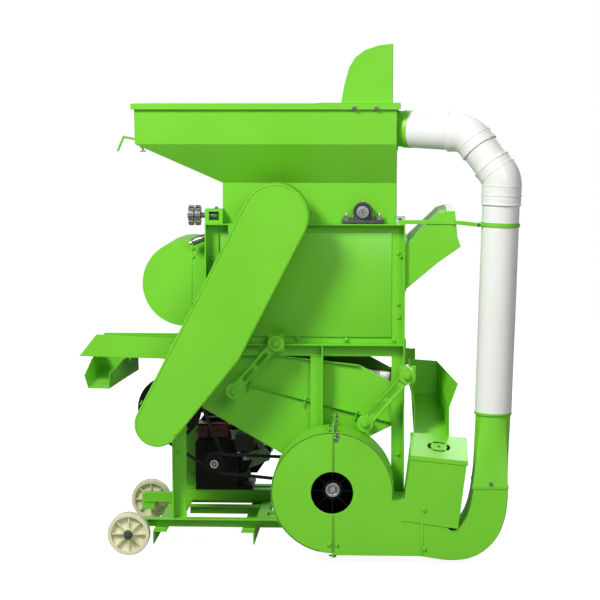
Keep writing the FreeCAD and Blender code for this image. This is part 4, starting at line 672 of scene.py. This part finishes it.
def pillow_model(half_width, depth, height, radius):
    """A cast pillow block for a shaft along Y: rounded foot, waisted neck, round housing with a sunk face."""
    clear_selection()
    bpy.ops.mesh.primitive_cube_add(size=1, location=(0, 0, 6.5 * MM))
    foot = bpy.context.object
    foot.scale = (2 * half_width, depth, 13 * MM)
    apply_place(foot)
    bevelled(foot, 5 * MM, 3)
    clear_selection()
    bpy.ops.mesh.primitive_cube_add(size=1, location=(0, 0, 22 * MM))
    neck = bpy.context.object
    neck.scale = (66 * MM, depth - 8 * MM, 22 * MM)
    apply_place(neck)
    pick_faces(neck, lambda centre, normal: normal.z > 0.9)
    bpy.ops.transform.resize(value=(0.72, 1, 1))
    leave_edit()
    bevelled(neck, 3 * MM, 2)
    housing = disc(radius, -depth / 2, depth / 2, sides=48)
    pick_faces(housing, lambda centre, normal: abs(normal.z) > 0.9)
    bpy.ops.mesh.inset(thickness=radius * 0.22, use_boundary=True)
    leave_edit()
    pick_faces(housing, lambda centre, normal: abs(normal.z) > 0.9 and centre.xy.length < 0.001)
    bpy.ops.transform.resize(value=(1, 1, 0.86))
    leave_edit()
    bevelled(housing, 2 * MM, 2, 60)
    choose(housing)
    housing.rotation_euler = (math.radians(90), 0, 0)
    housing.location = (0, 0, height)
    apply_place(housing)
    return joined([foot, neck, housing], "pillow_model")


def bearing_places():
    """Where the shaft bearings stand: (x, y, foot height) in millimetres."""
    places = []
    for x in (-56, 199):
        places += [(x, y, 1005) for y in (-198, 198)]
    places += [(-345, y, 781.5) for y in (185, 233)]
    places += [(-411, y, 374.5) for y in (-154, 154)]
    places += [(114, y, 179.5) for y in (-150, -82)]
    return places


def make_bearings():
    """Cast bearing blocks, their polished inner rings, grease nipples and foot bolts."""
    depth = 34 * MM
    height = 36.5 * MM
    block = pillow_model(63.5 * MM, depth, height, 29 * MM)
    spots = [Vector(place) * MM for place in bearing_places()]
    blocks = joined(copies(block, [Matrix.Translation(spot) for spot in spots]), "bearing_blocks")
    finish_piece(blocks, "grey_casting", stands_for=("pillow_blocks",))

    ring = disc(17.5 * MM, -depth / 2 - 1.5 * MM, depth / 2 + 1.5 * MM, sides=40)
    bevelled(ring, 1 * MM, 2)
    turned = Matrix.Translation((0, 0, height)) @ Matrix.Rotation(math.radians(90), 4, "X")
    rings = copies(ring, [Matrix.Translation(spot) @ turned for spot in spots])
    nipple = joined([disc(3 * MM, 0, 6 * MM, 12), disc(4.2 * MM, 0, 2.5 * MM, 6)], "nipple_model")
    bevelled(nipple, 0.8 * MM, 2)
    lift = Vector((0, 0, height + 28.5 * MM))
    nipples = copies(nipple, [Matrix.Translation(spot + lift) for spot in spots])
    stud = disc(5 * MM, 0, 19 * MM, 20)
    foot_bolt = joined([hex_bolt(15 * MM, 8 * MM), bevelled(stud, 0.8 * MM)], "foot_bolt_model")
    feet = []
    for spot in spots:
        for step in (-50, 50):
            feet.append(Matrix.Translation(spot + Vector((step, 0, 13)) * MM))
    feet = copies(foot_bolt, feet)
    bright = joined(rings + nipples + feet, "bearing_fittings")
    finish_piece(bright, "bright_steel")

    seal = plate_of([circle(22.5), circle(17.7)], 16.2, 17.8, 0.4)
    ends = [stand(spot + Vector((0, 0, height)), way) for spot in spots for way in (NEAR, FAR)]
    finish_piece(joined(copies(seal, ends), "bearing_seals"), "black_plastic")
    # Painted shade: a thin dark disc and a dark ring on the secondary rotor's shaft end stand for the shade
    # in its centre hole and in a groove.
    hole = disc(3 * MM, 0, 0.4 * MM, 20)
    groove = plate_of([circle(9.4), circle(8.2)], 0, 0.4, 0.1)
    mark = placed(joined([hole, groove], "shaft_end_painted_shade"), stand(Vector((199, -232, 1041.5)) * MM, NEAR))
    finish_piece(mark, "black_plastic", "secondary_rotor")


def lump_model(long, wide, high):
    """A drop of weld, lying on the origin along X."""
    clear_selection()
    bpy.ops.mesh.primitive_uv_sphere_add(segments=10, ring_count=6, radius=1)
    lump = bpy.context.object
    lump.scale = (long, wide, high)
    apply_place(lump)
    return lump


def seam_places(start, end, way, step=3.4):
    """Matrices of the drops of one welded seam, each a little off its place."""
    start, end = Vector(start) * MM, Vector(end) * MM
    along = (end - start).normalized()
    count = max(1, round((end - start).length / (step * MM)))
    side = Vector(way).normalized()
    turned = Matrix((along, side.cross(along), side)).transposed().to_4x4()
    places = []
    for number in range(count + 1):
        spot = start.lerp(end, number / count) + along * random.uniform(-0.6, 0.6) * MM
        size = random.uniform(0.85, 1.15)
        places.append(Matrix.Translation(spot) @ turned @ Matrix.Scale(size, 4))
    return places


def make_welds():
    """Short seams at the frame's joints and tacks round the belt guard's face."""
    random.seed(4)
    places = []
    corner = -215
    leg = -175
    for x, z in ((-278, 1001), (327, 1001), (-381, 636), (-278, 640), (80, 600), (327, 636)):
        side = 1 if x < 0 else -1
        places += seam_places((x + 6 * side, leg - 4, z), (x + 34 * side, leg - 4, z), NEAR)
    for x in (-381, 47, 287):
        places += seam_places((x + 4, leg - 4, 99), (x + 36, leg - 4, 99), NEAR + UP)
        places += seam_places((x + 4, -leg + 4, 99), (x + 36, -leg + 4, 99), FAR + UP)
    for x in (-437, -167, 255):
        places += seam_places((x + 3, corner, 69), (x + 34, corner, 69), NEAR)
        places += seam_places((x + 3, -corner, 69), (x + 34, -corner, 69), FAR)
    for x, z in ((-61, 646), (336, 549)):
        places += seam_places((x - 22, corner, z + 26), (x + 22, corner, z + 26), NEAR + UP)
        places += seam_places((x - 22, -corner, z + 26), (x + 22, -corner, z + 26), FAR + UP)
    lump = lump_model(2.9 * MM, 2.4 * MM, 1.5 * MM)
    welds = joined(copies(lump, places), "weld_seams")
    finish_piece(welds, "green_paint")

    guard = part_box("belt_guard")[0].y / MM
    tacks = []
    for degrees in (15, 62, 104, 148):
        turn = math.radians(degrees)
        x, z = -56 + 95 * math.cos(turn), 1034 + 95 * math.sin(turn)
        along = Vector((-math.sin(turn), 0, math.cos(turn)))
        tacks += seam_places((x, guard, z), Vector((x, guard, z)) + along * 9, NEAR)
    for share in (0.2, 0.45, 0.7, 0.92):
        x, z = -149 + (-483 + 149) * share, 1060 + (430 - 1060) * share
        tacks += seam_places((x, guard, z), (x - 5, guard, z - 9), NEAR)
    tack = lump_model(2.4 * MM, 1.9 * MM, 0.9 * MM)
    finish_piece(joined(copies(tack, tacks), "guard_tacks"), "green_paint")


def screen(left, right, half, cell, hole, name):
    """One perforated screen between two points of the side view, its slots punched in rows."""
    (x0, z0), (x1, z1) = left, right
    length = math.hypot(x1 - x0, z1 - z0)
    columns, rows = round(length / cell[0]), round(2 * half / cell[1])
    clear_selection()
    bpy.ops.mesh.primitive_grid_add(x_subdivisions=columns, y_subdivisions=rows, size=1)
    sheet = bpy.context.object
    sheet.scale = (length * MM, 2 * half * MM, 1)
    apply_place(sheet)
    edge_x, edge_y = length / 2 - cell[0], half - cell[1]
    pick_faces(sheet, lambda centre, normal: abs(centre.x) < edge_x * MM and abs(centre.y) < edge_y * MM)
    bpy.ops.mesh.inset(thickness=(cell[1] - hole) / 2 * MM, use_individual=True)
    bpy.ops.mesh.delete(type="FACE")
    leave_edit()
    wall = sheet.modifiers.new("wall", "SOLIDIFY")
    wall.thickness = 1.5 * MM
    wall.offset = 0
    bpy.ops.object.modifier_apply(modifier=wall.name)
    sheet.rotation_euler = (0, -math.atan2(z1 - z0, x1 - x0), 0)
    sheet.location = ((x0 + x1) / 2 * MM, 0, (z0 + z1) / 2 * MM)
    apply_place(sheet)
    sheet.name = name
    return sheet


def make_screens():
    """Two punched screens in the sieve box: long slots above, finer ones below."""
    upper = screen((-290, 598), (281, 509), 157, (30, 15), 9, "upper_screen")
    lower = screen((-289, 512), (282, 405), 157, (20, 11), 5, "lower_screen")
    screens = joined([upper, lower], "punched_screens")
    finish_piece(screens, "bright_steel", "sieve", stands_for=("sieve_screens",))


def plate_block(wide, deep, high, rounding, at):
    """A rounded block with its centre at a point, in millimetres."""
    clear_selection()
    bpy.ops.mesh.primitive_cube_add(size=1)
    block = bpy.context.object
    block.scale = Vector((wide, deep, high)) * MM
    block.location = Vector(at) * MM
    apply_place(block)
    return bevelled(block, rounding * MM, 2)


def make_seam_tabs():
    """Bolted tabs that hold the two halves of the lift fan's casing together, above and below its rim."""
    seam = 117
    tabs = []
    small = hex_bolt(9 * MM, 4 * MM, 16 * MM)
    spots = []
    for y, top in ((-362, 424), (-246, 436)):
        for side in (-1, 1):
            tabs.append(plate_block(3, 22, top - 386, 1, (seam + side * 2, y, (top + 386) / 2)))
        for z in (top - 8, top - 24):
            spots.append(stand((seam * MM + 3.6 * MM, y * MM, z * MM), (1, 0, 0), y + z))
    for y in (-362, -246):
        for side in (-1, 1):
            tabs.append(plate_block(3, 22, 22, 1, (seam + side * 2, y, 30)))
        spots.append(stand((seam * MM + 3.6 * MM, y * MM, 24 * MM), (1, 0, 0), y))
    bolts = copies(small, spots)
    finish_piece(joined(tabs, "seam_tabs"), "green_paint")
    finish_piece(joined(bolts, "seam_bolts"), "bright_steel", worn=BURNISHED)


def make_strip_bolts():
    """Upright bolts through the strip along the sieve box, on both sides."""
    tilt = math.atan2(391 - 511, 302 + 165)
    way = Vector((-math.sin(tilt), 0, math.cos(tilt)))
    bolt = hex_bolt(11 * MM, 6 * MM, 22 * MM)
    places = []
    for x in (-145, 24, 180):
        z = 511 + (x + 165) * math.tan(tilt) + 1.5
        places += [stand(Vector((x, y, z)) * MM, way, x) for y in (-166.5, 166.5)]
    finish_piece(joined(copies(bolt, places), "strip_bolts"), "green_paint", "sieve")


def make_edge_bolts():
    """Small bolts along the casing's lower edge, at the stay bar, the riser and the feed box."""
    bolt = hex_bolt(9 * MM, 3.6 * MM)
    places = []
    for x, z in ((1, 655), (150, 652), (294, 650), (306, 760)):
        places.append(stand(Vector((x, -179, z)) * MM, NEAR, x))
        places.append(stand(Vector((x, 179, z)) * MM, FAR, x))
    finish_piece(joined(copies(bolt, places), "edge_bolts"), "green_paint")


def make_engine_fittings():
    """What shows on the engine: end washer, cover bolts, carburettor bowl, dipstick, tank seam and guards."""
    x, z = -267, 241
    washer = plate_of([circle(13.5), circle(7.5)], 0, 4, 1)
    tip = disc(4 * MM, 0, 3 * MM, 24)
    end = placed(joined([washer, tip], "shaft_end"), stand(Vector((x, -58, z)) * MM, NEAR))
    finish_piece(end, "bright_steel", "engine_shaft")

    cover_bolt = hex_bolt(10 * MM, 5 * MM)
    places = []
    for step in range(6):
        turn = math.tau * (step + 0.5) / 6
        spot = Vector((x + 50 * math.cos(turn), 61, z + 50 * math.sin(turn))) * MM
        places.append(stand(spot, NEAR, turn))
    tilt = math.radians(20)
    way = Vector((math.cos(tilt), 0, math.sin(tilt)))
    up = Vector((-way.z, 0, way.x))
    head = Vector((x, 145, z)) + way * 146
    for aside, across in ((28, 32), (-28, 32), (28, -32), (-28, -32), (0, 0)):
        places.append(stand((head + up * aside + Vector((0, across, 0))) * MM, way, across))
    finish_piece(joined(copies(cover_bolt, places), "engine_bolts"), "black_paint")

    boss = placed(plate_of([circle(8.5), circle(3.6)], 0, 20, 1.2), stand(Vector((-200, 78, 252)) * MM, NEAR))
    bowl = disc(15 * MM, 0, 26 * MM)
    bevelled(bowl, 4 * MM, 3)
    placed(bowl, Matrix.Translation(Vector((x + 88, 80, 243)) * MM))
    finish_piece(joined([boss, bowl], "carburettor_parts"), "bright_steel")

    stick = disc(8 * MM, 0, 46 * MM, 20)
    cap = disc(13 * MM, 36 * MM, 50 * MM, 12)
    bevelled(cap, 1.5 * MM, 2)
    plug = placed(joined([stick, cap], "oil_dipstick"), stand(Vector((-214, 100, 172)) * MM, (0.93, 0, 0.36)))
    finish_piece(plug, "black_plastic")

    shroud = [(-178, 254), (-119, 268), (-103, 252), (-103, 228), (-172, 201), (-160, 226)]
    breather = [(-224, 326), (-196, 332), (-178, 311), (-202, 292), (-223, 302)]
    covers = [
        placed(plate_of([shroud], 0, 8, 2), facing((0, 96, 0), (1, 0, 0), NEAR)),
        placed(plate_of([breather], 0, 13, 3), facing((0, 76, 0), (1, 0, 0), NEAR)),
    ]
    finish_piece(joined(covers, "engine_covers"), "grey_green_paint")
    cowl = [(-338, 170), (-338, 340), (-312, 374), (-236, 374)]
    cowl += [(-152, 324), (-112, 296), (-104, 236), (-150, 170)]
    shell = placed(plate_of([cowl], 0, 24, 8), facing((0, 196, 0), (1, 0, 0), NEAR))
    shell.name = "flywheel_shroud"
    finish_piece(shell, "black_paint")
    foot = [(-204, 268), (-150, 268), (-150, 218), (-172, 196), (-172, 156), (-204, 156)]
    block = placed(plate_of([foot], 0, 90, 4), facing((0, 190, 0), (1, 0, 0), NEAR))
    block.name = "cylinder_foot"
    finish_piece(block, "black_paint")
    small = hex_bolt(10 * MM, 4 * MM)
    spots = [(-134, 88, 242), (-167, 88, 246), (-203, 63, 312)]
    made = copies(small, [stand(Vector(spot) * MM, NEAR, spot[0]) for spot in spots])
    finish_piece(joined(made, "cover_bolts"), "bright_steel")

    low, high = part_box("fuel_tank")
    middle = ((low.x + high.x) / 2 / MM, (low.y + high.y) / 2 / MM, 322)
    seam = plate_block((high.x - low.x) / MM + 4, (high.y - low.y) / MM + 4, 3, 1.2, middle)
    seam.name = "tank_seam"
    finish_piece(seam, "red_paint")


def make_camera():
    """The photograph's camera: far off on the near side, level with the pipe's elbow, a long lens."""
    data = bpy.data.cameras.new("camera")
    data.lens = 120
    data.sensor_width = 36
    camera = bpy.data.objects.new("camera", data)
    bpy.context.scene.collection.objects.link(camera)
    camera.location = (0.3304, -6.2204, 1.3762)
    camera.rotation_euler = (math.radians(90 - 5.71), 0, math.radians(3.05))
    bpy.context.scene.camera = camera


def add_area(name, at, aim, width, watts):
    data = bpy.data.lights.new(name, "AREA")
    data.shape = "SQUARE"
    data.size = width
    data.energy = watts
    lamp = bpy.data.objects.new(name, data)
    bpy.context.scene.collection.objects.link(lamp)
    lamp.location = at
    lamp.rotation_euler = (Vector(aim) - Vector(at)).to_track_quat("-Z", "Y").to_euler()


def make_studio():
    """Soft lamps from the front and above, a white surround and a pale floor that keeps a faint shadow."""
    middle = (0, 0, 0.75)
    add_area("key_lamp", (-2.3, -3.5, 4.0), middle, 1.3, 236)
    add_area("fill_lamp", (2.0, -4.4, 2.9), middle, 2.0, 74)
    add_area("top_lamp", (0.2, 0.4, 4.4), middle, 2.4, 16)
    add_area("back_lamp", (1.5, 4.5, 3.2), middle, 2.4, 110)

    world = bpy.data.worlds.new("white_surround")
    bpy.context.scene.world = world
    world.use_nodes = True
    tree = world.node_tree
    tree.nodes.clear()
    path = tree.nodes.new("ShaderNodeLightPath")
    seen = tree.nodes.new("ShaderNodeMath")
    seen.operation = "MAXIMUM"
    tree.links.new(path.outputs["Is Camera Ray"], seen.inputs[0])
    tree.links.new(path.outputs["Is Transmission Ray"], seen.inputs[1])
    glossy = tree.nodes.new("ShaderNodeMath")
    glossy.operation = "MULTIPLY_ADD"
    glossy.inputs[1].default_value = 0.45
    tree.links.new(path.outputs["Is Glossy Ray"], glossy.inputs[0])
    tree.links.new(seen.outputs[0], glossy.inputs[2])
    level = tree.nodes.new("ShaderNodeMapRange")
    level.inputs["To Min"].default_value = 0.06
    level.inputs["To Max"].default_value = 1.0
    tree.links.new(glossy.outputs[0], level.inputs["Value"])
    background = tree.nodes.new("ShaderNodeBackground")
    background.inputs["Color"].default_value = (1, 1, 1, 1)
    tree.links.new(level.outputs["Result"], background.inputs["Strength"])
    output = tree.nodes.new("ShaderNodeOutputWorld")
    tree.links.new(background.outputs["Background"], output.inputs["Surface"])

    floor_material = new_material("pale_floor")
    shader = shader_of(floor_material, "#A4A5A5", 0.9)
    view = add_node(floor_material, "ShaderNodeLightPath")
    glow = add_node(
        floor_material,
        "ShaderNodeMath",
        values={1: 0.93},
        links={0: view.outputs["Is Camera Ray"]},
        operation="MULTIPLY",
    )
    shader.inputs["Emission Color"].default_value = (1, 1, 1, 1)
    floor_material.node_tree.links.new(glow.outputs[0], shader.inputs["Emission Strength"])
    clear_selection()
    bpy.ops.mesh.primitive_plane_add(size=2 * FLOOR_HALF)
    floor = bpy.context.object
    floor.name = "floor"
    floor.data.materials.append(floor_material)


dress_nodes()
make_bolts()
make_covers()
make_arms()
make_fan_details()
make_elbow()
make_blower_details()
make_pipe_details()
make_small_bolts()
make_axle_nuts()
make_painted_casing_shade()
make_bearings()
make_welds()
make_screens()
make_seam_tabs()
make_strip_bolts()
make_edge_bolts()
make_engine_fittings()
make_camera()
make_studio()
bpy.context.scene.view_settings.view_transform = "Standard"
